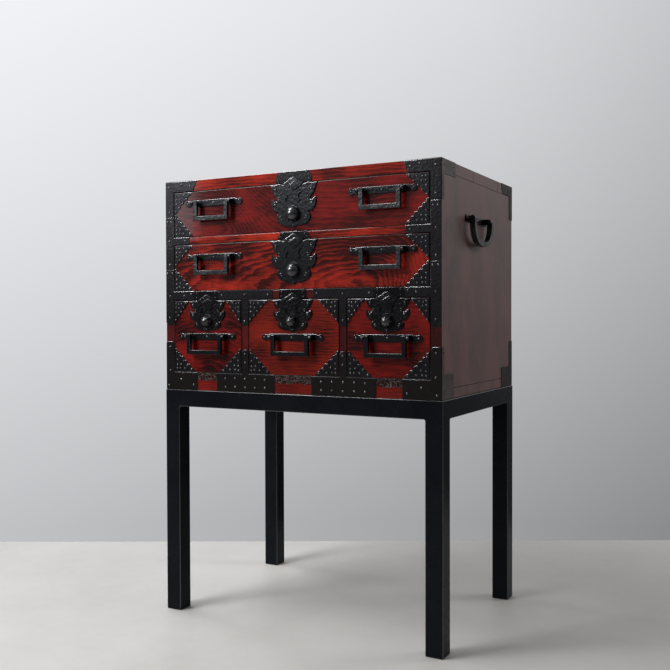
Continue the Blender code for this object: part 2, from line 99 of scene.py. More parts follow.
def blend_colour(tree, share, *colours):
    """The mix of two colours, each a value or a socket."""
    inputs = {0: share}
    for index, value in zip((6, 7), colours):
        inputs[index] = value if isinstance(value, bpy.types.NodeSocket) else (*value, 1.0)
    return wire(tree, "ShaderNodeMix", inputs, data_type="RGBA").outputs[2]


def noise_value(tree, vector, scale, detail=3.0, roughness=0.5, stretch=(1.0, 1.0, 1.0)):
    """A noise that can be stretched along an axis."""
    mapped = wire(tree, "ShaderNodeMapping", {"Vector": vector, "Scale": stretch}).outputs["Vector"]
    inputs = {"Vector": mapped, "Scale": scale, "Detail": detail, "Roughness": roughness}
    return wire(tree, "ShaderNodeTexNoise", inputs).outputs["Fac"]


def new_material(name):
    """A material with an empty node tree, its Principled shader and its object coordinates."""
    made = bpy.data.materials.new(name)
    made.use_nodes = True
    shader = made.node_tree.nodes["Principled BSDF"]
    place = wire(made.node_tree, "ShaderNodeTexCoord").outputs["Object"]
    return made, made.node_tree, shader, place


def set_bump(tree, shader, height, distance):
    """Feeds a height to a shader's normal."""
    bump = wire(tree, "ShaderNodeBump", {"Height": height, "Distance": distance, "Strength": 1.0})
    feed(tree, shader, {"Normal": bump.outputs["Normal"]})


FLOOR_FAR = 2.655
FLOOR_NEAR = -4.0
FLOOR_HALF_WIDTH = 5.0
FLOOR_SHADE = (0.40, 0.392, 0.38)
FLOOR_LIGHT = (0.48, 0.471, 0.458)
FLOOR_FLECK = (0.52, 0.512, 0.50)
floor_paint, tree, shader, place = new_material("floor_paint")
cloud = noise_value(tree, place, 2.4, detail=5.0, roughness=0.6)
fleck = noise_value(tree, place, 26.0, detail=4.0, roughness=0.7)
tone = blend_colour(tree, spread(tree, cloud, 0.3, 0.7, 0.0, 1.0), FLOOR_SHADE, FLOOR_LIGHT)
tone = blend_colour(tree, spread(tree, fleck, 0.35, 0.8, 0.0, 0.25), tone, FLOOR_FLECK)
feed(tree, shader, {"Base Color": tone, "Roughness": 0.55})
shape = bmesh.new()
bmesh.ops.create_grid(shape, x_segments=1, y_segments=1, size=0.5)
length = FLOOR_FAR - FLOOR_NEAR
bmesh.ops.scale(shape, vec=(2 * FLOOR_HALF_WIDTH, length, 1.0), verts=shape.verts)
bmesh.ops.translate(shape, vec=(0.0, (FLOOR_FAR + FLOOR_NEAR) / 2, 0.0), verts=shape.verts)
floor_place = Matrix.Translation((*CAMERA_PLACE[:2], 0.0)) @ Matrix.Rotation(CAMERA_TURN, 4, "Z")
bmesh.ops.transform(shape, matrix=floor_place, verts=shape.verts)
mesh = bpy.data.meshes.new("floor")
shape.to_mesh(mesh)
shape.free()
mesh.materials.append(floor_paint)
floor = bpy.data.objects.new("floor", mesh)
bpy.context.scene.collection.objects.link(floor)

# Soft studio light: a key panel at the front left, a broad panel overhead, a window-like panel far on the
# left, a faint low panel at the front left, a warm fill behind on the right and a pale surround that is
# brightest above and to the left.
AIM = Vector((0.0, 0.0, 0.68))
PANELS = [
    ("key_panel", (-1.10, -1.62, 1.80), 0.80, 0.60, 37.0, (1.0, 1.0, 1.0)),
    ("top_panel", (-0.95, -0.35, 2.40), 1.60, 0.70, 42.0, (1.0, 1.0, 1.0)),
    ("window_panel", (-2.60, 0.30, 1.75), 0.60, 0.60, 9.0, (1.0, 1.0, 1.0)),
    ("low_panel", (-1.80, -1.78, 1.28), 0.60, 0.50, 2.4, (0.94, 0.96, 1.0)),
    ("fill_panel", (2.10, 1.30, 1.90), 0.80, 0.80, 18.0, (1.0, 0.93, 0.87)),
]
for name, panel_place, width, height, power, colour in PANELS:
    lamp = bpy.data.lights.new(name, "AREA")
    lamp.shape = "RECTANGLE"
    lamp.size, lamp.size_y = width, height
    lamp.energy = power
    lamp.color = colour
    panel = bpy.data.objects.new(name, lamp)
    panel.location = panel_place
    panel.rotation_euler = (AIM - Vector(panel_place)).to_track_quat("-Z", "Y").to_euler()
    bpy.context.scene.collection.objects.link(panel)

SURROUND = (0.96, 0.97, 1.0, 1.0)
SOFT_SHARE = 0.55
world = bpy.data.worlds.new("surround")
bpy.context.scene.world = world
world.use_nodes = True
tree = world.node_tree
direction = wire(tree, "ShaderNodeTexCoord").outputs["Generated"]
parts = wire(tree, "ShaderNodeSeparateXYZ", {0: direction}).outputs
from_left = spread(tree, parts["X"], 0.35, -0.75, 0.03, 0.54)
from_above = spread(tree, parts["Z"], -0.22, 0.40, 0.02, 0.46)
from_behind = spread(tree, parts["Y"], -0.3, 0.6, 0.0, 1.0)
dim_right = spread(tree, parts["X"], 0.5, -0.3, 0.40, 1.0)
right_glow = reckon(tree, "MULTIPLY", spread(tree, parts["X"], 0.10, 0.40, 0.0, 1.0),
                    spread(tree, parts["Z"], -0.06, 0.22, 0.0, 0.55))
behind = reckon(tree, "MULTIPLY", reckon(tree, "ADD", from_left, right_glow), from_behind)
seen = reckon(tree, "ADD", behind, reckon(tree, "MULTIPLY", from_above, dim_right))
rays = wire(tree, "ShaderNodeLightPath").outputs
reflected = reckon(tree, "MAXIMUM", rays["Is Glossy Ray"], rays["Is Transmission Ray"])
direct = reckon(tree, "MAXIMUM", rays["Is Camera Ray"], reflected)
soft = reckon(tree, "MULTIPLY", seen, SOFT_SHARE)
strength = wire(tree, "ShaderNodeMix", {0: direct, 2: soft, 3: seen}).outputs[0]
feed(tree, tree.nodes["Background"], {"Color": SURROUND, "Strength": strength})


# The stand is one welded frame of square steel tube, painted satin black. Its edges are the rolled edges
# of the tube, and the inner corners hold small ground welds.
def finish_piece(name, shape, materials, body, stands_for=(), smooth=0.0):
    """Makes an object at the origin from a shape and rides it on a body. smooth is the angle in degrees from
    which an edge stays sharp; broad faces keep flat shading beside their rounded edges."""
    mesh = bpy.data.meshes.new(name)
    shape.to_mesh(mesh)
    shape.free()
    for material in materials:
        mesh.materials.append(material)
    if smooth:
        mesh.shade_smooth()
        mesh.set_sharp_from_angle(angle=math.radians(smooth))
    made = bpy.data.objects.new(name, mesh)
    bpy.context.scene.collection.objects.link(made)
    if smooth:
        made.modifiers.new("flat_faces", "WEIGHTED_NORMAL").keep_sharp = True
    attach(made, body)
    if stands_for:
        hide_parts(*stands_for)
    return made


def bevel_edges(shape, edges, width, segments=2, held=True):
    """Rounds edges and returns the new faces. A held width gives way where edges lie close together."""
    made = bmesh.ops.bevel(shape, geom=list(edges), offset=width, segments=segments, profile=0.5,
                           affect="EDGES", material=-1, clamp_overlap=held)
    return made["faces"]


def sharp_edges(shape, degrees=30.0, shortest=0.0):
    """The outward edges where a shape turns, but none shorter than a length."""
    turned = [edge for edge in shape.edges if edge.calc_face_angle_signed(0.0) > math.radians(degrees)]
    return [edge for edge in turned if edge.calc_length() > shortest]


def thicken(shape, faces, way):
    """Grows flat faces into a solid along a way."""
    grown = bmesh.ops.extrude_face_region(shape, geom=faces, use_keep_orig=True)
    lifted = [item for item in grown["geom"] if isinstance(item, bmesh.types.BMVert)]
    bmesh.ops.translate(shape, vec=way, verts=lifted)
    bmesh.ops.recalc_face_normals(shape, faces=shape.faces)


STAND_EDGE = 0.0016
STAND_WELD = 0.0035
STAND_DARK = (0.0042, 0.0052, 0.0074)
STAND_DUSTY = (0.0074, 0.0087, 0.0114)


def stand_paint(name, gloss):
    """Satin black paint with a faint peel, glossier where hands and cloths rub it."""
    made, tree, shader, place = new_material(name)
    peel = noise_value(tree, place, 900.0, detail=2.0)
    dust = spread(tree, noise_value(tree, place, 9.0, detail=4.0, roughness=0.65), 0.35, 0.75, 0.0, 1.0)
    feed(tree, shader, {"Base Color": blend_colour(tree, dust, STAND_DARK, STAND_DUSTY),
                        "Roughness": spread(tree, dust, 0.0, 1.0, 0.24, 0.32),
                        "Specular IOR Level": gloss})
    set_bump(tree, shader, peel, 0.00008)
    return made


black_paint = stand_paint("black_paint", 0.06)
edge_paint = stand_paint("edge_paint", 0.90)
leg_low, leg_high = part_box("stand_front_left_leg")
far_low, far_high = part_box("stand_rear_right_leg")
stand_rail_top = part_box("stand_front_rail")[1].z
grid_x = [leg_low.x, leg_high.x, far_low.x, far_high.x]
grid_y = [leg_low.y, leg_high.y, far_low.y, far_high.y]
shape = bmesh.new()
bmesh.ops.create_grid(shape, x_segments=3, y_segments=3, size=1.5)
for vertex in shape.verts:
    column, row = round(vertex.co.x + 1.5), round(vertex.co.y + 1.5)
    vertex.co = (grid_x[column], grid_y[row], leg_high.z)
opening = [face for face in shape.faces if face.calc_center_median().xy.length < 0.05]
bmesh.ops.delete(shape, geom=opening, context="FACES")
thicken(shape, list(shape.faces), (0.0, 0.0, stand_rail_top - leg_high.z))
feet = []
for face in shape.faces:
    centre = face.calc_center_median()
    at_corner = abs(centre.x) > leg_low.x * -0.9 and not leg_high.y < centre.y < far_low.y
    if face.normal.z < -0.5 and at_corner:
        feet.append(face)
for face in feet:
    grown = bmesh.ops.extrude_discrete_faces(shape, faces=[face])
    bmesh.ops.translate(shape, vec=(0.0, 0.0, leg_low.z - leg_high.z), verts=grown["faces"][0].verts)
bmesh.ops.remove_doubles(shape, verts=shape.verts, dist=1e-6)
bmesh.ops.recalc_face_normals(shape, faces=shape.faces)
inner = [edge for edge in shape.edges if edge.is_manifold and edge.calc_face_angle_signed() < -1.0]
bevel_edges(shape, inner, STAND_WELD, segments=3)
for face in bevel_edges(shape, sharp_edges(shape, 60.0), STAND_EDGE, segments=3):
    face.material_index = 1
tubes = [f"stand_{end}_{side}_leg" for end in ("front", "rear") for side in ("left", "right")]
tubes += [f"stand_{side}_rail" for side in ("front", "rear", "left", "right")]
finish_piece("stand_frame", shape, [black_paint, edge_paint], "chest", tubes, smooth=50.0)


# The carcass boards are zelkova. Their front edges are rubbed with clear red lacquer that lets the growth
# rings show, the outside is stained dark, and the parts that the drawers hide are left bare.
HEART_BOW = 0.0012
RIPPLE_RINGS = 1.7
# Painted highlight: how far up, and how little to the right, an eased face must look to take a brighter
# material, as if lit by the lamps above and at the left.
HIGHLIGHT_UP = 0.25
HIGHLIGHT_RIGHT = 0.4


def ring_grain_group():
    """Growth rings on a board whose grain runs along X, round a heart that sinks away to both sides: the
    mask of the dark late wood, the blotchy figure and the fine pores."""
    group = bpy.data.node_groups.new("ring_grain", "ShaderNodeTree")
    face = group.interface
    face.new_socket("Vector", in_out="INPUT", socket_type="NodeSocketVector")
    for name in ("Heart Across", "Heart Height", "Heart Depth", "Heart Fall", "Left Taper", "Right Taper",
                 "Taper Reach", "Drift", "Spacing", "Wobble", "Seed"):
        face.new_socket(name, in_out="INPUT", socket_type="NodeSocketFloat")
    for name in ("Late Wood", "Figure", "Pores"):
        face.new_socket(name, in_out="OUTPUT", socket_type="NodeSocketFloat")

    def plus(first, second):
        return reckon(group, "ADD", first, second)

    def minus(first, second):
        return reckon(group, "SUBTRACT", first, second)

    def times(first, second):
        return reckon(group, "MULTIPLY", first, second)

    given = wire(group, "NodeGroupInput").outputs
    shift = wire(group, "ShaderNodeCombineXYZ", {axis: given["Seed"] for axis in range(3)}).outputs[0]
    moved = wire(group, "ShaderNodeVectorMath", {0: given["Vector"], 1: shift}, operation="ADD").outputs[0]
    parts = wire(group, "ShaderNodeSeparateXYZ", {0: given["Vector"]}).outputs
    slow = noise_value(group, moved, 1.0, detail=2.0, stretch=(2.6, 2.0, 4.0))
    sway = noise_value(group, moved, 1.0, detail=2.0, stretch=(5.0, 4.0, 13.0))
    blotch = noise_value(group, moved, 1.0, detail=3.0, stretch=(9.0, 9.0, 16.0))
    ripple = noise_value(group, moved, 1.0, detail=3.0, roughness=0.6, stretch=(24.0, 20.0, 60.0))
    along = minus(parts["X"], given["Heart Across"])
    eased = reckon(group, "TANH", reckon(group, "DIVIDE", along, given["Taper Reach"]))
    eased = times(eased, given["Taper Reach"])
    bowed = reckon(group, "SQRT", plus(times(eased, eased), HEART_BOW))
    right = times(plus(bowed, eased), given["Right Taper"])
    left = times(minus(bowed, eased), given["Left Taper"])
    sunk = times(plus(right, left), 0.5)
    bend = times(minus(sway, 0.5), given["Wobble"])
    height = plus(minus(parts["Z"], given["Heart Height"]), bend)
    height = plus(height, times(right, given["Heart Fall"]))
    drift = times(minus(slow, 0.5), given["Drift"])
    depth = plus(plus(given["Heart Depth"], drift), sunk)
    distance = reckon(group, "SQRT", plus(times(height, height), times(depth, depth)))
    rings = plus(reckon(group, "DIVIDE", distance, given["Spacing"]), times(ripple, RIPPLE_RINGS))
    share = reckon(group, "FRACT", rings)
    rise = reckon(group, "POWER", share, 1.1)
    fall = spread(group, share, 0.78, 1.0, 1.0, 0.0)
    patchy = spread(group, blotch, 0.38, 0.62, 1.0, 0.45)
    late = times(times(rise, fall), patchy)
    figure = plus(times(slow, 0.45), times(blotch, 0.55))
    pores = noise_value(group, moved, 1.0, detail=3.0, roughness=0.7, stretch=(30.0, 220.0, 430.0))
    wire(group, "NodeGroupOutput", {"Late Wood": late, "Figure": figure, "Pores": pores})
    return group


ring_grain = ring_grain_group()


def lacquered_wood(name, bright, dark, contrast, rings, coat=0.7, coat_roughness=0.09, axes="XYZ",
                   blotches=0.3):
    """Clear lacquer over ring-grained wood. rings holds the ring group's values, axes the directions along,
    into and up the board, and blotches the share of darkening that comes and goes slowly over it."""
    made, tree, shader, place = new_material(name)
    if axes != "XYZ":
        parts = wire(tree, "ShaderNodeSeparateXYZ", {0: place}).outputs
        place = wire(tree, "ShaderNodeCombineXYZ", {i: parts[axis] for i, axis in enumerate(axes)}).outputs[0]
    grain = wire(tree, "ShaderNodeGroup", {"Vector": place, **rings}, node_tree=ring_grain)
    late, figure, pores = grain.outputs
    fine = spread(tree, pores, 0.38, 0.66, 0.0, 0.42)
    darkness = reckon(tree, "ADD", reckon(tree, "MULTIPLY", late, contrast), fine)
    slow_tone = spread(tree, figure, 0.38, 0.62, blotches, -0.4 * blotches)
    darkness = reckon(tree, "ADD", darkness, slow_tone)
    held = spread(tree, darkness, 0.0, 1.0, 0.0, 1.0)
    feed(tree, shader, {"Base Color": blend_colour(tree, held, bright, dark),
                        "Roughness": spread(tree, pores, 0.3, 0.8, 0.40, 0.55),
                        "Specular IOR Level": 0.0 if coat else 0.3,
                        "Coat Weight": coat, "Coat Roughness": coat_roughness})
    set_bump(tree, shader, reckon(tree, "ADD", reckon(tree, "MULTIPLY", late, 0.6), pores), 0.00018)
    return made


def board_rings(height, depth, spacing, seed, across=0.0, left=0.0, right=0.0, reach=1.0, drift=0.04,
                wobble=0.03, fall=0.0):
    """Values for the ring group: where the board's heart lies, how it sinks away and how the rings run."""
    return {"Heart Across": across, "Heart Height": height, "Heart Depth": depth, "Heart Fall": fall,
            "Left Taper": left, "Right Taper": right, "Taper Reach": reach, "Drift": drift,
            "Spacing": spacing, "Wobble": wobble, "Seed": seed}


def paint_edge_highlights(shape, faces, material, on_face=Matrix()):
    """Painted highlight: eased faces that look up and not to the right, towards the lamps above and at the
    left, take a material.
    """
    shape.normal_update()
    for face in faces:
        looks = on_face.to_3x3() @ face.normal
        if looks.z > HIGHLIGHT_UP and looks.x < HIGHLIGHT_RIGHT * looks.z:
            face.material_index = material


def bevelled_copy(node, width, segments=1, highlight_material=0, shortest=0.0):
    """A copy of a CAD node's shape with its edges eased, to the full width where short edges are left out.
    Eased faces that look up and not to the right can take a material of painted highlight."""
    shape = bmesh.new()
    shape.from_mesh(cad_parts[node].data)
    bmesh.ops.remove_doubles(shape, verts=shape.verts, dist=1e-6)
    bmesh.ops.dissolve_limit(shape, angle_limit=math.radians(1.0), verts=shape.verts, edges=shape.edges)
    edges = sharp_edges(shape, shortest=shortest)
    paint_edge_highlights(shape, bevel_edges(shape, edges, width, segments, held=not shortest), highlight_material)
    return shape


BOARD_EDGE = 0.0018
CRISP_EDGE = 0.0006
top_low, top_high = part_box("top_board")
chest_left, chest_right = top_low.x, top_high.x
chest_front, chest_back = top_low.y, top_high.y
chest_bottom, chest_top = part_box("bottom_board")[0].z, top_high.z
UPRIGHT = "ZXY"
LYING = "XZY"
RAIL_BRIGHT = (0.39, 0.024, 0.009)
RAIL_DARK = (0.048, 0.005, 0.004)
WORN_BRIGHT = (0.18, 0.010, 0.006)
POST_BRIGHT = (0.075, 0.008, 0.007)
POST_DARK = (0.022, 0.004, 0.004)
rail_rings = board_rings(chest_top + 0.10, 0.05, 0.0072, 3.1, drift=0.05, wobble=0.02)
post_rings = board_rings(0.30, 0.05, 0.0040, 6.6, drift=0.05, wobble=0.02)
side_rings = board_rings(0.25, 0.06, 0.0080, 8.4, drift=0.05, wobble=0.05)
rail_lacquer = lacquered_wood("rail_lacquer", RAIL_BRIGHT, RAIL_DARK, 0.85, rail_rings, blotches=0.5)
post_lacquer = lacquered_wood("post_lacquer", POST_BRIGHT, POST_DARK, 0.70, post_rings, axes=UPRIGHT)
dark_lacquer = lacquered_wood("dark_lacquer", (0.166, 0.091, 0.086), (0.075, 0.055, 0.055), 0.85, side_rings,
                              coat=0.75, coat_roughness=0.34, axes=UPRIGHT, blotches=0.35)
top_lacquer = lacquered_wood("top_lacquer", (0.105, 0.020, 0.014), (0.022, 0.007, 0.006), 0.75,
                             board_rings(-0.35, 0.06, 0.0085, 3.1, drift=0.06, wobble=0.05), coat=0.75,
                             coat_roughness=0.26, axes=LYING, blotches=0.15)
# Painted shade: a near-black lacquer for the edges of the drawer fronts and the sunk joint lines, standing
# for the shade in these gaps.
gap_shade = lacquered_wood("gap_shade", (0.030, 0.007, 0.006), (0.012, 0.004, 0.004), 0.5, rail_rings,
                           coat=0.8)
BARE_BRIGHT = (0.46, 0.31, 0.18)
BARE_DARK = (0.26, 0.15, 0.075)
bare_timber = lacquered_wood("bare_timber", BARE_BRIGHT, BARE_DARK, 0.60,
                             board_rings(0.35, 0.05, 0.009, 2.2), coat=0.0)
bare_panel = lacquered_wood("bare_panel", BARE_BRIGHT, BARE_DARK, 0.50,
                            board_rings(-0.30, 0.05, 0.010, 4.7), coat=0.0, axes=LYING)

# The bottom rail is the front edge of the lowest board, under the same lacquer. A chipped band along its
# upper edge is worn through to the dark ground.
worn_lacquer = lacquered_wood("worn_lacquer", WORN_BRIGHT, RAIL_DARK, 0.70, rail_rings)
WORN_BAND = 0.029
WORN_RAGGED = 0.016
WORN_FADE = 0.002
WORN_GROUND = (0.020, 0.010, 0.009)
WORN_FLECK = (0.200, 0.165, 0.160)
tree = worn_lacquer.node_tree
shader = tree.nodes["Principled BSDF"]
place = wire(tree, "ShaderNodeTexCoord").outputs["Object"]
ragged = noise_value(tree, place, 120.0, detail=4.0, roughness=0.65)
edge_height = reckon(tree, "ADD", wire(tree, "ShaderNodeSeparateXYZ", {0: place}).outputs["Z"],
                     reckon(tree, "MULTIPLY", ragged, WORN_RAGGED))
worn_from = chest_bottom + WORN_BAND
worn = spread(tree, edge_height, worn_from, worn_from + WORN_FADE, 0.0, 1.0)
curly = reckon(tree, "ABSOLUTE", reckon(tree, "SUBTRACT", noise_value(tree, place, 190.0, detail=2.0), 0.5))
ground = blend_colour(tree, spread(tree, curly, 0.004, 0.022, 1.0, 0.0), WORN_GROUND, WORN_FLECK)
whole = shader.inputs["Base Color"].links[0].from_socket
feed(tree, shader, {"Base Color": blend_colour(tree, worn, whole, ground),
                    "Coat Weight": spread(tree, worn, 0.0, 1.0, 0.7, 0.1)})
JOINT_LINE = 0.0016
GAP = 3
TOP_JOINTS = (0.182, 0.347)
SIDE_JOINT = 0.021


def paint_front(shape, turned=0.2):
    """Faces at the chest's front that look forwards, or nearly, take the second material."""
    for face in shape.faces:
        if face.calc_center_median().y < chest_front + 2 * BOARD_EDGE and face.normal.y < -turned:
            face.material_index = 1


def cut_groove(shape, axis, at, looks):
    """A fine joint line across the faces that look a way: two cuts, and the strip between them sunk and given
    painted shade.
    """
    for cut in (at - JOINT_LINE / 2, at + JOINT_LINE / 2):
        bmesh.ops.bisect_plane(shape, geom=shape.verts[:] + shape.edges[:] + shape.faces[:],
                               plane_co=axis * cut, plane_no=axis, dist=1e-6)
    shape.normal_update()
    strip = []
    for face in shape.faces:
        if face.normal.dot(looks) > 0.9 and abs(face.calc_center_median().dot(axis) - at) < JOINT_LINE / 4:
            strip.append(face)
    walls = bmesh.ops.inset_region(shape, faces=strip, thickness=0.0, depth=-JOINT_LINE, use_boundary=True)
    for face in strip + walls["faces"]:
        face.material_index = GAP


ways = {"left": Vector((-1.0, 0.0, 0.0)), "right": Vector((1.0, 0.0, 0.0))}
shape = bevelled_copy("top_board", CRISP_EDGE)
for looks in ways.values():
    for face in shape.faces:
        if face.normal.dot(looks) > 0.6:
            face.material_index = 2
    for at in TOP_JOINTS:
        cut_groove(shape, Vector((0.0, 1.0, 0.0)), chest_front + at, looks)
paint_front(shape)
woods = [top_lacquer, rail_lacquer, dark_lacquer, gap_shade]
finish_piece("top_board_wood", shape, woods, "chest", ["top_board"])
for side, looks in ways.items():
    node = f"{side}_side_board"
    shape = bevelled_copy(node, CRISP_EDGE)
    cut_groove(shape, Vector((0.0, 0.0, 1.0)), chest_bottom + SIDE_JOINT, looks)
    paint_front(shape)
    woods = [dark_lacquer, post_lacquer, dark_lacquer, gap_shade]
    finish_piece(f"{node}_wood", shape, woods, "chest", [node])
front_finishes = {"bottom_board": worn_lacquer, "middle_shelf": post_lacquer, "upper_shelf": rail_lacquer,
                  "left_divider": post_lacquer, "right_divider": post_lacquer}
for node, lacquer in front_finishes.items():
    shape = bevelled_copy(node, BOARD_EDGE, segments=2)
    paint_front(shape)
    finish_piece(f"{node}_wood", shape, [bare_timber, lacquer], "chest", [node], smooth=50.0)
shape = bevelled_copy("back_board", BOARD_EDGE)
finish_piece("back_board_wood", shape, [bare_timber], "chest", ["back_board"])

# Each drawer front is a show board of zelkova under the same red lacquer, cut where the rings make bold
# figure. The drawer box behind it is thin bare timber.
DRAWER_EDGE = 0.0010
FLAT = 0.98
BOARDS = {
    "top_drawer": {
        "bright": (0.225, 0.013, 0.010), "dark": (0.040, 0.005, 0.005), "contrast": 0.72, "blotches": 0.60,
        "rings": board_rings(0.875, 0.010, 0.0090, 5.2, across=-0.165, left=0.22, right=0.8, reach=0.10,
                             drift=0.03, fall=0.7)},
    "second_drawer": {
        "bright": (0.375, 0.022, 0.012), "dark": (0.032, 0.004, 0.003), "contrast": 0.92, "blotches": 0.60,
        "rings": board_rings(0.735, 0.010, 0.0085, 11.6, across=0.190, left=0.22, right=1.0, reach=0.60,
                             drift=0.05, wobble=0.035)},
    # The lower drawers' tones hold their boards' own colour and, being set darker, also painted shade for the
    # light that falls off towards the foot of the chest.
    "lower_left_drawer": {
        "bright": (0.21, 0.009, 0.006), "dark": (0.014, 0.002, 0.002), "contrast": 0.48, "blotches": 0.70,
        "rings": board_rings(0.500, 0.020, 0.0090, 4.4, across=-0.22, left=0.8, right=0.8, reach=0.15)},
    "lower_middle_drawer": {
        "bright": (0.21, 0.014, 0.006), "dark": (0.018, 0.003, 0.003), "contrast": 0.66, "blotches": 0.45,
        "rings": board_rings(0.470, 0.060, 0.0060, 9.2, left=0.04, right=0.04, drift=0.03, wobble=0.010)},
    "lower_right_drawer": {
        "bright": (0.22, 0.009, 0.005), "dark": (0.018, 0.003, 0.003), "contrast": 0.50, "blotches": 0.60,
        "rings": board_rings(0.480, 0.060, 0.0090, 7.1, left=0.06, right=0.10, drift=0.03, wobble=0.020)},
}
drawers = list(BOARDS)
for drawer, board in BOARDS.items():
    lacquer = lacquered_wood(f"{drawer}_lacquer", **board)
    shape = bevelled_copy(f"{drawer}_front", DRAWER_EDGE, segments=2, shortest=0.001)
    # Only faces that look straight forward take the lacquer; the drawer front's edges and eased rims take
    # painted shade for the dark gaps round the drawer.
    paint_front(shape, FLAT)
    finish_piece(f"{drawer}_front_wood", shape, [gap_shade, lacquer], drawer,
                 [f"{drawer}_front"], smooth=50.0)
    shape = bevelled_copy(f"{drawer}_box", BOARD_EDGE)
    for face in shape.faces:
        if abs(face.normal.z) > FLAT:
            face.material_index = 1
    finish_piece(f"{drawer}_box_wood", shape, [bare_timber, bare_panel], drawer,
                 [f"{drawer}_box"])


# Straps of hand-forged sheet iron, blackened and hammered, bind the posts at the front of the carcass. They
# lie flat on the wood, and round-headed nails hold them.
def forged_iron_group():
    """Hammered and pitted iron: a tone from dark to rubbed, and a height."""
    group = bpy.data.node_groups.new("forged_iron", "ShaderNodeTree")
    face = group.interface
    face.new_socket("Vector", in_out="INPUT", socket_type="NodeSocketVector")
    face.new_socket("Tone", in_out="OUTPUT", socket_type="NodeSocketFloat")
    face.new_socket("Height", in_out="OUTPUT", socket_type="NodeSocketFloat")
    place = wire(group, "NodeGroupInput").outputs["Vector"]
    patch = noise_value(group, place, 34.0, detail=4.0, roughness=0.6)
    pits = noise_value(group, place, 420.0, detail=3.0, roughness=0.65)
    blows = wire(group, "ShaderNodeTexVoronoi", {"Vector": place, "Scale": 170.0, "Smoothness": 0.8},
                 feature="SMOOTH_F1").outputs["Distance"]
    tone = reckon(group, "ADD", reckon(group, "MULTIPLY", patch, 0.6), reckon(group, "MULTIPLY", pits, 0.4))
    height = reckon(group, "ADD", blows, reckon(group, "MULTIPLY", pits, 0.45))
    wire(group, "NodeGroupOutput", {"Tone": tone, "Height": height})
    return group


forged_iron = forged_iron_group()


def iron(name, dark, wear_and_highlight, smoothest, roughest, hammered=0.0003, bare=0.85, gloss=0.5):
    """Blackened iron, lighter where it is rubbed, with hammer marks of a depth. bare is the share of metal
    that no patina hides, gloss the shine of the patina."""
    made, tree, shader, place = new_material(name)
    forged = wire(tree, "ShaderNodeGroup", {"Vector": place}, node_tree=forged_iron)
    tone = spread(tree, forged.outputs["Tone"], 0.38, 0.64, 0.0, 1.0)
    feed(tree, shader, {"Base Color": blend_colour(tree, tone, dark, wear_and_highlight),
                        "Roughness": spread(tree, tone, 0.0, 1.0, roughest, smoothest),
                        "Metallic": bare, "Specular IOR Level": gloss})
    set_bump(tree, shader, forged.outputs["Height"], hammered)
    return made


strap_iron = iron("strap_iron", (0.011, 0.0108, 0.0125), (0.034, 0.0335, 0.038), 0.20, 0.34, 0.00028)
nail_iron = iron("nail_iron", (0.050, 0.051, 0.054), (0.15, 0.152, 0.157), 0.24, 0.34, 0.0001)
# Painted highlight: a brighter iron for eased edges that look up and to the left, where the lamps above and
# at the left would catch them.
edge_highlight_iron = iron("edge_highlight_iron", (0.095, 0.097, 0.103), (0.29, 0.294, 0.306), 0.18, 0.30, 0.0001)
shoe_iron = iron("shoe_iron", (0.011, 0.0090, 0.0088), (0.025, 0.0210, 0.0205), 0.26, 0.40, 0.00022)
STRAP_THICK = 0.0012
STRAP_SEAT = 0.0002
STRAP_EDGE = 0.0008
THIN_EDGE = 0.0005
NAIL_RADIUS = 0.0027
NAIL_RISE = 0.0019
chance = random.Random(7)


def add_plate(shape, outline, thick, on_face, edge=STRAP_EDGE, metal=0, wear_and_highlight=2):
    """Adds a plate of a metal whose eased edges that look up and not to the right take a material of painted
    highlight: its outline (across, up) lies on the wood and it grows outwards, to -Y before on_face places
    it."""
    part = bmesh.new()
    rim = [part.verts.new((across, -STRAP_SEAT, up)) for across, up in outline]
    thicken(part, [part.faces.new(rim)], (0.0, -thick, 0.0))
    for face in part.faces:
        face.material_index = metal
    outer = [edge for edge in part.edges if all(end.co.y < -STRAP_SEAT - thick / 2 for end in edge.verts)]
    paint_edge_highlights(part, bevel_edges(part, outer, edge), wear_and_highlight, on_face)
    add_shape(shape, part, on_face)


def add_shape(shape, part, on_face):
    """Joins a part to a shape and frees the part."""
    mesh = bpy.data.meshes.new("joined")
    part.to_mesh(mesh)
    part.free()
    mesh.transform(on_face)
    if on_face.determinant() < 0:
        mesh.flip_normals()
    shape.from_mesh(mesh)
    bpy.data.meshes.remove(mesh)


def add_nail(shape, across, up, out, on_face, radius=NAIL_RADIUS, rise=NAIL_RISE):
    """A round nail head, half sunk in the face that lies at a distance out of the wood."""
    jitter = radius * 0.25
    centre = (across + chance.uniform(-jitter, jitter), -out, up + chance.uniform(-jitter, jitter))
    size = Matrix.Diagonal((radius, rise, radius, 1.0))
    turn = Matrix.Rotation(math.pi / 2, 4, "X")
    made = bmesh.ops.create_uvsphere(shape, u_segments=8, v_segments=6, radius=1.0,
                                     matrix=on_face @ Matrix.Translation(centre) @ size @ turn)
    for face in {face for vertex in made["verts"] for face in vertex.link_faces}:
        face.material_index = 1
        face.smooth = True


def finish_iron(name, shape, metals, body, stands_for=(), smooth=50.0):
    """Finishes a piece of black iron."""
    return finish_piece(name, shape, metals, body, stands_for, smooth)


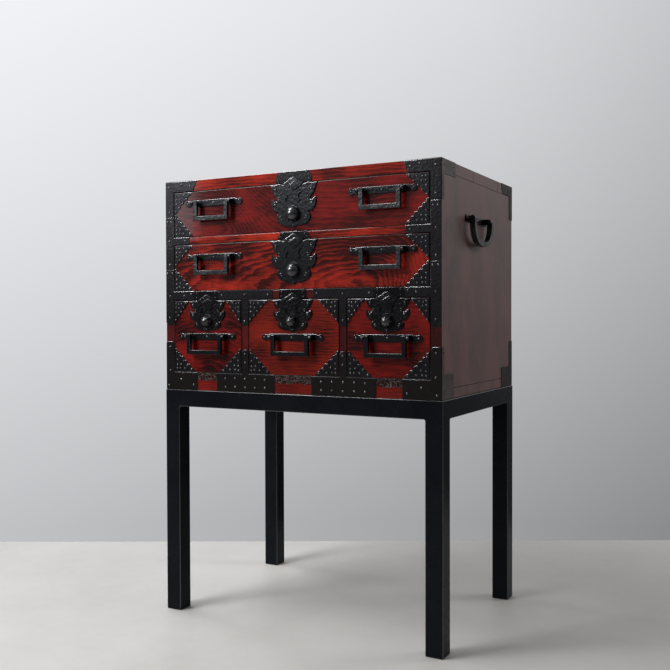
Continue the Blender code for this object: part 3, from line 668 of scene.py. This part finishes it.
on_front = Matrix.Translation((0.0, chest_front, 0.0))
strap_face = STRAP_SEAT + STRAP_THICK
post_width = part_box("left_side_board")[1].x - chest_left
top_rail, upper_rail, middle_rail, bottom_rail = (
    tuple(corner.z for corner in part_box(node))
    for node in ("top_board", "upper_shelf", "middle_shelf", "bottom_board"))
POST_SEAM = 0.080
POST_JOINT = 0.272
SEAM_GAP = 0.0006
POST_TIP = 0.006
SHOE = 3
seam = chest_top - POST_SEAM
joint = chest_bottom + POST_JOINT
POSTS = [
    {"side": "left", "top": 0.088, "under": 0.077, "rail": 0.066, "middle": 0.079, "foot": 0.087,
     "tip": 0.146, "shoe": 0.109},
    {"side": "right", "top": 0.080, "under": 0.072, "rail": 0.076, "middle": 0.078, "foot": 0.083,
     "tip": 0.142, "shoe": 0.104},
]
top_mid, rail_mid, shelf_mid, foot_mid = (
    sum(rail) / 2 for rail in (top_rail, upper_rail, middle_rail, bottom_rail))
half_post = post_width / 2
front_metals = [strap_iron, nail_iron, edge_highlight_iron, shoe_iron]
for post in POSTS:
    shape = bmesh.new()
    on_right = post["side"] == "right"
    edge_x = chest_right if on_right else chest_left
    inwards = Matrix.Diagonal((-1.0 if on_right else 1.0, 1.0, 1.0, 1.0))
    to_edge = on_front @ Matrix.Translation((edge_x, 0.0, 0.0)) @ inwards
    tip, shoe = chest_bottom + post["tip"], chest_bottom + post["shoe"]
    add_plate(shape, [(0.0, seam), (post_width, seam), (post_width, top_rail[0]),
                      (post["under"], top_rail[0]), (post["top"], chest_top), (0.0, chest_top)],
              STRAP_THICK, to_edge)
    add_plate(shape, [(0.0, joint), (post_width, joint), (post_width, upper_rail[0]),
                      (post["rail"], upper_rail[0]), (post["rail"], upper_rail[1]),
                      (post_width, upper_rail[1]), (post_width, seam - SEAM_GAP), (0.0, seam - SEAM_GAP)],
              STRAP_THICK, to_edge)
    add_plate(shape, [(0.0, tip + POST_TIP), (POST_TIP, tip), (post_width - POST_TIP, tip),
                      (post_width, tip + POST_TIP), (post_width, middle_rail[0]),
                      (post["middle"], middle_rail[0]), (post["middle"], middle_rail[1]),
                      (post_width, middle_rail[1]), (post_width, joint - SEAM_GAP), (0.0, joint - SEAM_GAP)],
              STRAP_THICK, to_edge)
    add_plate(shape, [(0.0, chest_bottom), (post["foot"], chest_bottom), (post["foot"], bottom_rail[1]),
                      (post_width, bottom_rail[1]), (post_width, shoe - POST_TIP),
                      (post_width - POST_TIP, shoe), (POST_TIP / 2, shoe), (0.0, shoe - POST_TIP / 2)],
              STRAP_THICK, to_edge, metal=SHOE)
    nails = [(half_post, top_mid), (post["under"] - 0.008, top_mid), (0.045, top_mid + 0.004),
             (half_post, seam + 0.012), (half_post - 0.005, seam - 0.010), (half_post + 0.005, seam - 0.010),
             (half_post, rail_mid), (post["rail"] - 0.010, rail_mid), (half_post, joint + 0.010),
             (half_post - 0.006, joint - 0.008), (half_post + 0.006, joint - 0.008), (half_post, shelf_mid),
             (0.052, shelf_mid), (post["middle"] - 0.008, shelf_mid + 0.003), (half_post, tip + 0.016),
             (half_post, shoe - 0.012), (half_post, bottom_rail[1] + 0.004),
             (half_post - 0.003, chest_bottom + 0.010), (0.042, foot_mid + 0.004),
             (post["foot"] - 0.010, chest_bottom + 0.012)]
    for across, up in nails:
        add_nail(shape, across, up, strap_face, to_edge)
    finish_iron(f"{post['side']}_post_irons", shape, front_metals, "chest")

# Strikes are short plates of darker sheet iron on the rails above the locks, where the bolts go in. Two more
# cover the ends of the middle rail. Small nails hold them.
strike_iron = iron("strike_iron", (0.005, 0.005, 0.0057), (0.015, 0.015, 0.017), 0.20, 0.34, 0.00022)
STRIKE_CLIP = 0.004
STRIKE_SLANT = 0.008
STRIKE_STEEP = 1.4
STRIKE_SHARE = 0.7
STRIKE_HALF = {"top_drawer": 0.044, "second_drawer": 0.0395, "lower_middle_drawer": 0.034}
STRIKE_NAIL = 0.0019
STRIKE_NAIL_UP = 0.005
STRIKE_FOOT_NAIL = 0.007
STRIKE_HEAD_NAIL = 0.004
T_UPPER = 0.070


def middle_of(node):
    """The middle of a node's box."""
    low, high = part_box(node)
    return (low + high) / 2


dividers = {node: middle_of(node).x for node in ("left_divider", "right_divider")}
strike_places = [
    (chest_left + POSTS[0]["middle"] + SEAM_GAP, dividers["left_divider"] - T_UPPER - SEAM_GAP,
     middle_rail, STRIKE_CLIP),
    (dividers["right_divider"] + T_UPPER + SEAM_GAP, chest_right - POSTS[1]["middle"] - SEAM_GAP,
     middle_rail, STRIKE_CLIP),
]
lock_strikes = []
for (drawer, half), rail in zip(STRIKE_HALF.items(), (top_rail, upper_rail, middle_rail)):
    lock_x = middle_of(f"{drawer}_lock_plate").x
    clip = STRIKE_CLIP if drawer.startswith("lower") else STRIKE_SLANT
    lock_strikes.append((lock_x - half, lock_x + half, rail, clip))
shape = bmesh.new()
for low_x, high_x, (low_z, high_z), clip in lock_strikes + strike_places:
    drop = high_z - min(clip * STRIKE_STEEP, (high_z - low_z) * STRIKE_SHARE)
    add_plate(shape, [(low_x, low_z), (high_x, low_z), (high_x, drop), (high_x - clip, high_z),
                      (low_x + clip, high_z), (low_x, drop)], STRAP_THICK, on_front, THIN_EDGE)
    for margin, up in ((STRIKE_FOOT_NAIL, low_z + STRIKE_NAIL_UP),
                       (clip + STRIKE_HEAD_NAIL, high_z - STRIKE_NAIL_UP)):
        for across in (low_x + margin, high_x - margin):
            add_nail(shape, across, up, strap_face, on_front, radius=STRIKE_NAIL)
finish_iron("strikes", shape, [strike_iron, nail_iron, edge_highlight_iron], "chest")

# T-irons bind both dividers to the middle rail and to the bottom rail. They are cut from the same sheet as
# the straps, and the lower ones carry two rows of nails.
T_LOWER = 0.075
T_UPPER_TIP = 0.145
T_LOWER_TIP = 0.0925
T_TIP_CLIP = 0.005
T_NAIL_IN = 0.010
T_NAIL_COLUMNS = 5
T_NAIL_PITCH = 0.0255
T_NAIL_ROWS = (0.011, 0.029)
T_STEM_NAILS = (0.009, 0.028)
shape = bmesh.new()
for divider, x in dividers.items():
    low_x, high_x = (corner.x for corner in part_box(divider))
    tip = chest_bottom + T_UPPER_TIP
    low_z, high_z = middle_rail
    add_plate(shape, [(x - T_UPPER, low_z), (low_x, low_z), (low_x, tip), (high_x, tip), (high_x, low_z),
                      (x + T_UPPER, low_z), (x + T_UPPER, high_z), (x - T_UPPER, high_z)],
              STRAP_THICK, on_front, THIN_EDGE, wear_and_highlight=0)
    for across in (x - T_UPPER + T_NAIL_IN, x, x + T_UPPER - T_NAIL_IN):
        add_nail(shape, across, shelf_mid, strap_face, on_front)
    add_nail(shape, x, tip + T_NAIL_IN, strap_face, on_front)
    tip = chest_bottom + T_LOWER_TIP
    low_z, high_z = bottom_rail
    add_plate(shape, [(x - T_LOWER, low_z), (x + T_LOWER, low_z), (x + T_LOWER, high_z), (high_x, high_z),
                      (high_x, tip - T_TIP_CLIP), (high_x - T_TIP_CLIP, tip), (low_x + T_TIP_CLIP, tip),
                      (low_x, tip - T_TIP_CLIP), (low_x, high_z), (x - T_LOWER, high_z)],
              STRAP_THICK, on_front, metal=SHOE)
    for column in range(T_NAIL_COLUMNS):
        across = x + (column - (T_NAIL_COLUMNS - 1) / 2) * T_NAIL_PITCH
        for row in T_NAIL_ROWS:
            add_nail(shape, across, low_z + row, strap_face, on_front)
    for drop in T_STEM_NAILS:
        add_nail(shape, x, tip - drop, strap_face, on_front)
finish_iron("divider_irons", shape, front_metals, "chest")

# Corner irons bind the sides, the top and the back of the chest at its eight corners: the same forged
# sheet, bent round the edges, duller on the sides and back, with small flat nails.
side_iron = iron("side_iron", (0.030, 0.026, 0.024), (0.085, 0.073, 0.068), 0.34, 0.46,
                 hammered=0.0001, bare=0.0, gloss=0.20)
rear_iron = iron("rear_iron", (0.012, 0.0105, 0.010), (0.030, 0.027, 0.026), 0.34, 0.46,
                 hammered=0.0001, bare=0.0, gloss=0.10)
SIDE_NAIL = {"radius": 0.0020, "rise": 0.0012}
SIDE_THICK = 0.0010
TOP_PLATE = {"front_long": 0.076, "front_tall": 0.029, "back_long": 0.078, "back_tall": 0.024}
LOW_PLATE = {"front_long": 0.065, "front_tall": 0.051, "back_long": 0.081, "back_tall": 0.047}
EDGE_STRIP = 0.013
BACK_STRIP = 0.022
TOP_LEG = 0.079
LOW_LEG_FRONT = 0.104
LOW_LEG_BACK = 0.106
CORNER_CLIP = 0.010
LID_ARM = 0.022
LID_NAIL = 0.010
REAR = 3
side_face = STRAP_SEAT + SIDE_THICK
chest_depth = chest_back - chest_front
for side in ("left", "right"):
    shape = bmesh.new()
    to_side = Matrix.Translation((chest_right, chest_front, 0.0)) @ Matrix.Rotation(math.pi / 2, 4, "Z")
    to_back = Matrix.Translation((chest_right, chest_back, 0.0)) @ Matrix.Rotation(math.pi, 4, "Z")
    to_top = Matrix.Translation((chest_right, chest_front, chest_top)) @ Matrix(
        ((-1, 0, 0, 0), (0, 0, 1, 0), (0, -1, 0, 0), (0, 0, 0, 1)))
    if side == "left":
        flip = Matrix.Diagonal((-1.0, 1.0, 1.0, 1.0))
        to_side, to_back, to_top = flip @ to_side, flip @ to_back, flip @ to_top
    top, low, deep = chest_top, chest_bottom, chest_depth
    fore, foot = TOP_PLATE["front_long"], top - TOP_PLATE["front_tall"]
    add_plate(shape, [(0.0, top - TOP_LEG), (EDGE_STRIP, top - TOP_LEG), (EDGE_STRIP, foot), (fore, foot),
                      (fore, top), (0.0, top)], SIDE_THICK, to_side)
    rear, foot = deep - TOP_PLATE["back_long"], top - TOP_PLATE["back_tall"]
    inner = deep - BACK_STRIP
    add_plate(shape, [(deep, top - TOP_LEG), (deep, top), (rear, top), (rear, foot + CORNER_CLIP),
                      (rear + CORNER_CLIP, foot), (inner, foot), (inner, top - TOP_LEG)],
              SIDE_THICK, to_side, metal=REAR)
    fore, head, leg = LOW_PLATE["front_long"], low + LOW_PLATE["front_tall"], low + LOW_LEG_FRONT
    add_plate(shape, [(0.0, low), (fore, low), (fore, head), (EDGE_STRIP, head), (EDGE_STRIP, leg),
                      (0.0, leg)], SIDE_THICK, to_side)
    rear, head, leg = deep - LOW_PLATE["back_long"], low + LOW_PLATE["back_tall"], low + LOW_LEG_BACK
    add_plate(shape, [(deep, low), (deep, leg), (inner, leg), (inner, head), (rear, head), (rear, low)],
              SIDE_THICK, to_side, metal=REAR)
    side_nails = [(0.007, top - TOP_LEG + 0.010), (0.012, top - 0.012), (0.064, top - 0.010),
                  (0.064, top - 0.022), (deep - 0.068, top - 0.010), (deep - 0.011, top - 0.012),
                  (deep - 0.011, top - TOP_LEG + 0.010), (0.007, low + LOW_LEG_FRONT - 0.012),
                  (0.012, low + 0.012), (0.054, low + 0.012), (0.054, low + 0.040),
                  (deep - 0.011, low + 0.012), (deep - 0.070, low + 0.012), (deep - 0.070, low + 0.036),
                  (deep - 0.011, low + LOW_LEG_BACK - 0.012)]
    for across, up in side_nails:
        add_nail(shape, across, up, side_face, to_side, **SIDE_NAIL)
    for low_z, high_z in ((top - TOP_LEG, top), (low, low + LOW_LEG_BACK)):
        add_plate(shape, [(0.0, low_z), (BACK_STRIP, low_z), (BACK_STRIP, high_z), (0.0, high_z)],
                  SIDE_THICK, to_back, metal=REAR)
        for up in (low_z + 0.012, high_z - 0.012):
            add_nail(shape, BACK_STRIP / 2, up, side_face, to_back, **SIDE_NAIL)
    for near, arm in ((True, TOP_PLATE["front_long"]), (False, TOP_PLATE["back_long"])):
        bend = [(0.0, 0.0), (arm, 0.0), (arm, LID_ARM), (LID_ARM, LID_ARM), (LID_ARM, arm), (0.0, arm)]
        outline = bend if near else [(across, deep - up) for across, up in reversed(bend)]
        add_plate(shape, outline, SIDE_THICK, to_top)
        half_arm, end = LID_ARM / 2, arm - LID_NAIL
        for across, up in ((half_arm, half_arm), (end, half_arm), (half_arm, end)):
            add_nail(shape, across, up if near else deep - up, side_face, to_top, **SIDE_NAIL)
    finish_iron(f"{side}_corner_irons", shape, [side_iron, side_iron, side_iron, rear_iron], "chest")

# Three-cornered iron plates guard the corners of the drawer fronts. The lower ones have a stepped edge,
# and rows of nails follow the slope.
PLATE_INSET = 0.0012
UPPER_PLATE = (0.050, 0.050)
LOWER_TOP_PLATE = (0.048, 0.049)
LOWER_FOOT_PLATE = (0.054, 0.052)
PLATE_STEPS = 6
STEP_RISE = 0.0024
SLOPE_HOLLOW = 0.8
PLATE_NAIL = 0.0024
PLATE_NAIL_SHIFT = 0.002
CORNER_NAIL = 0.12
NAIL_ROWS = ((0.86, (0.06, 0.28, 0.5, 0.72, 0.94)), (0.56, (0.16, 0.5, 0.84)), (0.34, (0.3, 0.75)))
PROUD_THICK = 0.0026


def corner_outline(width, height, stepped):
    """A right-angled plate: its corner at the origin and its slope plain or in rounded steps."""
    outline = [(0.0, 0.0), (width, 0.0)]
    normal = Vector((height, width)).normalized()
    count = PLATE_STEPS if stepped else 1
    for step in range(count):
        for part in range(1, 5):
            share = (step + part / 5) / count
            bulge = STEP_RISE * math.sin(math.pi * part / 5) * (1.0 if stepped else -SLOPE_HOLLOW)
            along = Vector((width * (1 - share), height * share)) + normal * bulge
            outline.append(tuple(along))
        share = (step + 1) / count
        outline.append((width * (1 - share), height * share))
    return outline


def corner_nails(width, height):
    """Nails in rows along the slope, and one in the corner."""
    nails = [(width * CORNER_NAIL, height * CORNER_NAIL)]
    for inward, shares in NAIL_ROWS:
        for share in shares:
            nails.append((width * (1 - share) * inward + PLATE_NAIL_SHIFT,
                          height * share * inward + PLATE_NAIL_SHIFT))
    return nails


for drawer in drawers:
    low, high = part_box(f"{drawer}_front")
    lower = drawer.startswith("lower")
    lock_low, lock_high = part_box(f"{drawer}_lock_plate")
    lock_width = lock_high.x - lock_low.x
    room = (high.x - low.x - lock_width) / 2 - 2 * PLATE_INSET
    shape = bmesh.new()
    for right in (False, True):
        for up in (False, True):
            width, height = UPPER_PLATE if not lower else LOWER_TOP_PLATE if up else LOWER_FOOT_PLATE
            width = min(width, room) if up else width
            corner = Vector((high.x - PLATE_INSET if right else low.x + PLATE_INSET, chest_front,
                             high.z - PLATE_INSET if up else low.z + PLATE_INSET))
            turn = Matrix.Diagonal((-1.0 if right else 1.0, 1.0, -1.0 if up else 1.0, 1.0))
            to_corner = Matrix.Translation(corner) @ turn
            thick = PROUD_THICK if lower and up else STRAP_THICK
            add_plate(shape, corner_outline(width, height, not up), thick, to_corner)
            for across, rise in corner_nails(width, height):
                add_nail(shape, across, rise, STRAP_SEAT + thick, to_corner, radius=PLATE_NAIL)
    finish_iron(f"{drawer}_corner_plates", shape, [strap_iron, nail_iron, edge_highlight_iron], drawer)


# The locks: a shaped iron plate with ears, lobes and pierced curls, a lozenge over the keyway with a small
# cover on it, a domed boss that is pressed to throw the bolt, and the bolt inside the drawer front.
def flowing(points, steps=6):
    """Points along a smooth curve through a list of points, its ends included."""
    ends = [points[0], *points, points[-1]]
    made = []
    for before, start, end, after in zip(ends, ends[1:], ends[2:], ends[3:]):
        for step in range(steps):
            t = step / steps
            made.append(tuple(
                0.5 * (2 * b + (c - a) * t + (2 * a - 5 * b + 4 * c - d) * t ** 2
                       + (3 * b - a - 3 * c + d) * t ** 3)
                for a, b, c, d in zip(before, start, end, after)))
    return made + [points[-1]]


lock_iron = iron("lock_iron", (0.0085, 0.0090, 0.0105), (0.029, 0.0308, 0.0345), 0.20, 0.32, 0.0003)
rough_iron = iron("rough_iron", (0.004, 0.004, 0.0045), (0.022, 0.022, 0.0245), 0.20, 0.34, 0.0007)
boss_iron = iron("boss_iron", (0.032, 0.0325, 0.034), (0.125, 0.127, 0.132), 0.16, 0.25, 0.00005)
LOCK_THICK = 0.0028
LOCK_EDGE = 0.0009
LOCK_INSET = 0.0005
# Strokes of half of the outline, in shares of the plate's half width and of its height
LOCK_STROKES = [
    [(0.46, 0.030), (0.60, -0.004), (0.74, 0.008), (0.84, 0.020)],
    [(0.84, 0.020), (1.0, 0.0)],
    [(1.0, 0.0), (0.925, 0.10), (0.86, 0.21), (0.70, 0.335)],
    [(0.70, 0.335), (0.68, 0.365), (0.74, 0.385), (0.93, 0.315)],
    [(0.93, 0.315), (0.95, 0.42), (0.90, 0.53), (0.76, 0.64)],
    [(0.76, 0.64), (0.66, 0.62), (0.63, 0.66), (0.69, 0.68)],
    [(0.69, 0.68), (0.71, 0.78), (0.58, 0.885), (0.33, 0.935), (0.12, 0.95), (0.0, 1.0)],
]
LOCK_CURL = [(0.40, 0.185), (0.27, 0.235), (0.235, 0.30), (0.30, 0.35), (0.27, 0.40), (0.16, 0.41)]
CURL_WIDTH = 0.0042
CURL_ROOM = (0.46, 0.16, 0.44)
# Painted shade: a thin dark iron sheet under the pierced curls, so that the holes read dark instead of
# showing the wood.
CURL_SHADE_THICK = 0.0005
LOCK_RIVETS = [(0.76, 0.13), (0.755, 0.46), (0.55, 0.745)]
LOCK_SMALL_RIVETS = [(0.62, 0.36), (0.80, 0.40), (0.50, 0.79), (0.60, 0.30)]
SMALL_RIVET = 0.0017
SMALL_RIVET_RISE = 0.0012
TIP_RIVET = 0.0021
TIP_RIVET_PLACE = 0.925
RING_RADIUS = 0.0042
RING_WIRE = 0.0009
BOSS_RING_GAP = 0.0018
BOSS_RING_WIRE = 0.0012
LOZENGE_HALF = (0.027, 0.0148)
LOZENGE_DROP = 0.0015
LOZENGE_BACK = 0.0028
LOZENGE_THICK = 0.0012
LOZENGE_NAILS = (0.25, 0.62)
LOZENGE_NAIL_IN = 0.78
LOZENGE_NAIL = {"radius": 0.0015, "rise": 0.0009}
COVER_SHARE = 0.64
COVER_SHIFT = (0.16, -0.24)
BOSS_STEPS = 40
BOSS_RINGS = 10
BOSS_FULLNESS = 0.85
BOSS_TAIL = 0.45
BOSS_FLUTES = 8
FLUTE_SHARE = 0.10
FLUTE_ENDS = (0.05, 0.97)


def spin_round(shape, geom, steps):
    """Turns a profile once round the Y axis into a closed shape."""
    bmesh.ops.spin(shape, geom=geom, cent=(0, 0, 0), axis=(0, 1, 0), angle=2 * math.pi, steps=steps,
                   use_merge=True)
    bmesh.ops.remove_doubles(shape, verts=shape.verts, dist=1e-6)
    bmesh.ops.recalc_face_normals(shape, faces=shape.faces)


def add_ring(shape, across, up, out, radius, wire_radius, on_face):
    """A round wire ring that lies on a face."""
    part = bmesh.new()
    made = bmesh.ops.create_circle(part, segments=8, radius=wire_radius)
    bmesh.ops.translate(part, vec=(radius, 0.0, 0.0), verts=made["verts"])
    spin_round(part, part.verts[:] + part.edges[:], 20)
    for face in part.faces:
        face.smooth = True
    add_shape(shape, part, on_face @ Matrix.Translation((across, -out, up)))


def closed_loop(shape, outline, depth):
    """The edges of a closed outline, drawn at a depth."""
    rim = [shape.verts.new((across, depth, up)) for across, up in outline]
    return [shape.edges.new(pair) for pair in zip(rim, rim[1:] + rim[:1])]


def lozenge(wide, tall):
    """The outline of a lozenge, from its half width and half height."""
    return [(wide, 0.0), (0.0, tall), (-wide, 0.0), (0.0, -tall)]


def curl_outline(half, top, height, sign):
    """A pierced curl: a line that swells from a point to its full width and thins to a point."""
    line = [Vector((sign * x * half, top - z * height)) for x, z in flowing(LOCK_CURL, 4)]
    left, right = [], []
    for index, point in enumerate(line):
        along = line[min(index + 1, len(line) - 1)] - line[max(index - 1, 0)]
        side = Vector((-along.y, along.x)).normalized() * CURL_WIDTH / 2
        side *= math.sin(math.pi * (index + 0.35) / (len(line) - 0.3)) ** 0.6
        left.append(tuple(point + side))
        right.append(tuple(point - side))
    return left + right[::-1]


for drawer in drawers:
    lower = drawer.startswith("lower")
    plate_low, plate_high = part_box(f"{drawer}_lock_plate")
    boss_low, boss_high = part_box(f"{drawer}_lock_boss")
    front_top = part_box(f"{drawer}_front")[1].z
    half = (plate_high.x - plate_low.x) / 2
    middle_x = (plate_low.x + plate_high.x) / 2
    boss_radius = (boss_high.x - boss_low.x) / 2
    boss_z = (boss_low.z + boss_high.z) / 2
    plate_top = front_top - LOCK_INSET
    height = plate_top - plate_low.z
    on_lock = on_front @ Matrix.Translation((middle_x, 0.0, 0.0))
    outline = []
    for stroke in LOCK_STROKES:
        points = flowing([(x * half, plate_top - z * height) for x, z in stroke], 3)
        outline += points if not outline else points[1:]
    outline += [(-x, z) for x, z in reversed(outline[:-1])]
    part = bmesh.new()
    edges = closed_loop(part, outline, -STRAP_SEAT)
    for sign in (-1, 1):
        edges += closed_loop(part, curl_outline(half, plate_top, height, sign), -STRAP_SEAT)
    bmesh.ops.triangle_fill(part, edges=edges, use_beauty=True)
    bmesh.ops.dissolve_limit(part, angle_limit=0.01, verts=part.verts, edges=part.edges)
    thicken(part, part.faces[:], (0.0, -LOCK_THICK, 0.0))
    room_half = CURL_ROOM[0] * half
    room_top, room_foot = (plate_top - share * height for share in CURL_ROOM[1:])
    outer = []
    for edge in sharp_edges(part, 60.0):
        midpoint = (edge.verts[0].co + edge.verts[1].co) / 2
        pierced = abs(midpoint.x) < room_half and room_foot < midpoint.z < room_top
        if midpoint.y < -LOCK_THICK and not pierced:
            outer.append(edge)
    # The plate's eased rims that look up and not to the right take the painted highlight iron.
    paint_edge_highlights(part, bevel_edges(part, outer, LOCK_EDGE, held=False), 2)
    shape = bmesh.new()
    add_shape(shape, part, on_lock)
    field = STRAP_SEAT + LOCK_THICK
    # A dark sheet under the pierced curls stands in for the shade in the holes.
    add_plate(shape, [(-room_half, room_foot), (room_half, room_foot), (room_half, room_top),
                      (-room_half, room_top)], CURL_SHADE_THICK, on_lock)
    for rivets, radius, rise in ((LOCK_RIVETS, NAIL_RADIUS, NAIL_RISE),
                                 (LOCK_SMALL_RIVETS, SMALL_RIVET, SMALL_RIVET_RISE)):
        for x, z in rivets:
            for sign in (-1, 1):
                add_nail(shape, sign * x * half, plate_top - z * height, field, on_lock, radius, rise)
    ring_x, ring_z = LOCK_RIVETS[0]
    for sign in (-1, 1):
        add_ring(shape, sign * ring_x * half, plate_top - ring_z * height, field, RING_RADIUS, RING_WIRE,
                 on_lock)
    add_nail(shape, 0.0, plate_top - TIP_RIVET_PLACE * height, field, on_lock, radius=TIP_RIVET)
    add_ring(shape, 0.0, boss_z, field, boss_radius + BOSS_RING_GAP, BOSS_RING_WIRE, on_lock)
    wide, tall = LOZENGE_HALF
    to_lozenge = on_lock @ Matrix.Translation((0.0, STRAP_SEAT - LOZENGE_BACK, front_top - LOZENGE_DROP))
    add_plate(shape, lozenge(wide, tall), LOZENGE_THICK, to_lozenge)
    shift_x, shift_z = COVER_SHIFT
    to_cover = to_lozenge @ Matrix.Translation((wide * shift_x, -LOZENGE_THICK, tall * shift_z))
    add_plate(shape, lozenge(wide * COVER_SHARE, tall * COVER_SHARE), LOZENGE_THICK - STRAP_SEAT, to_cover)
    for share in LOZENGE_NAILS:
        across, up = -wide * (1 - share) * LOZENGE_NAIL_IN, tall * share * LOZENGE_NAIL_IN
        add_nail(shape, across, up, STRAP_SEAT + LOZENGE_THICK, to_lozenge, **LOZENGE_NAIL)
    field_iron = rough_iron if lower else lock_iron
    finish_iron(f"{drawer}_lock_plate_iron", shape, [field_iron, nail_iron, edge_highlight_iron], drawer,
                [f"{drawer}_lock_plate"])

    shape = bmesh.new()
    rise = chest_front - boss_low.y
    profile = []
    for step in range(BOSS_RINGS + 1):
        angle = math.pi / 2 * step / BOSS_RINGS
        dome = (rise - STRAP_SEAT) * math.cos(angle) ** BOSS_FULLNESS
        profile.append((boss_radius * math.sin(angle), -STRAP_SEAT - dome))
    tail = boss_high.y - chest_front
    profile += [(boss_radius * BOSS_TAIL, tail), (0.0, tail)]
    dots = [shape.verts.new((radius, depth, 0.0)) for radius, depth in profile]
    lines = [shape.edges.new(pair) for pair in zip(dots, dots[1:])]
    spin_round(shape, dots + lines, BOSS_STEPS)
    if lower:
        for vertex in shape.verts:
            out = -vertex.co.y / rise
            if FLUTE_ENDS[0] < out < FLUTE_ENDS[1]:
                turn = math.atan2(vertex.co.z, vertex.co.x)
                depth = FLUTE_SHARE * math.sin(math.pi * out) * (1 - math.cos(BOSS_FLUTES * turn))
                vertex.co.x *= 1 - depth
                vertex.co.z *= 1 - depth
    bmesh.ops.translate(shape, vec=(middle_x, chest_front, boss_z), verts=shape.verts)
    finish_iron(f"{drawer}_lock_boss_iron", shape, [boss_iron], f"{drawer}_lock_boss_body",
                [f"{drawer}_lock_boss"], smooth=60.0)
    shape = bevelled_copy(f"{drawer}_lock_bolt", CRISP_EDGE)
    finish_iron(f"{drawer}_lock_bolt_iron", shape, [lock_iron], f"{drawer}_lock_bolt_body",
                [f"{drawer}_lock_bolt"], smooth=0.0)

# The drawer handles are forged: a bulb-ended plate with two eyes, nailed to the drawer, and a square bail
# whose ends turn outwards into the eyes.
bail_iron = iron("bail_iron", (0.015, 0.0155, 0.0172), (0.062, 0.0637, 0.068), 0.24, 0.38, 0.0005)
HANDLE_EDGE = 0.0006
BAIL_EDGE = 0.0008
EYE_FACET = 0.0018
PIN_FACET = 0.0030
HANDLE_FACE = 0.0027
HANDLE_NAIL = {"radius": 0.0026, "rise": 0.0018}


def plate_nails(shape, plate, along, out, on_face, nail):
    """Three nails in a bulb-ended plate that runs along an axis: one in each bulb and one between them."""
    low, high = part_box(plate)
    centre, bulb = middle_of(plate), (high.z - low.z) / 2
    reach = (high[along] - low[along]) / 2 - bulb
    for across in (centre[along] - reach, centre[along], centre[along] + reach):
        add_nail(shape, across, centre.z, out, on_face, **nail)


handles = [(drawer, f"{drawer}_{side}") for drawer in drawers[:2] for side in ("left", "right")]
handles += [(drawer, drawer) for drawer in drawers[2:]]
for drawer, handle in handles:
    plate, bail = f"{handle}_handle_plate", f"{handle}_bail"
    # The handle plate's eased faces that look up and not to the right take the painted highlight iron.
    shape = bevelled_copy(plate, HANDLE_EDGE, 2, highlight_material=2, shortest=EYE_FACET)
    plate_nails(shape, plate, 0, HANDLE_FACE, on_front, HANDLE_NAIL)
    finish_iron(f"{plate}_iron", shape, [lock_iron, nail_iron, edge_highlight_iron], drawer, [plate])
    # The bail's eased faces that look up and not to the right take the brighter nail iron as a painted
    # highlight.
    shape = bevelled_copy(bail, BAIL_EDGE, 2, highlight_material=1, shortest=PIN_FACET)
    metal = lock_iron if drawer.startswith("lower") else bail_iron
    finish_iron(f"{bail}_iron", shape, [metal, nail_iron], f"{bail}_body", [bail])

# A broad forged bail hangs on each side of the chest for carrying it. Its ends turn in two eyes of a plate
# that is nailed to the side board.
SIDE_HANDLE_FACE = 0.0032
SIDE_HANDLE_NAIL = {"radius": 0.0028, "rise": 0.0018}
for side in ("left", "right"):
    plate, bail = f"{side}_side_handle_plate", f"{side}_side_handle_bail"
    to_side = Matrix.Translation((chest_right, 0.0, 0.0)) @ Matrix.Rotation(math.pi / 2, 4, "Z")
    if side == "left":
        to_side = Matrix.Diagonal((-1.0, 1.0, 1.0, 1.0)) @ to_side
    shape = bevelled_copy(plate, HANDLE_EDGE, 2, shortest=EYE_FACET)
    plate_nails(shape, plate, 1, SIDE_HANDLE_FACE, to_side, SIDE_HANDLE_NAIL)
    finish_iron(f"{plate}_iron", shape, [lock_iron, nail_iron, edge_highlight_iron], "chest", [plate])
    shape = bevelled_copy(bail, BAIL_EDGE, 2, shortest=PIN_FACET)
    finish_iron(f"{bail}_iron", shape, [bail_iron], f"{bail}_body", [bail])
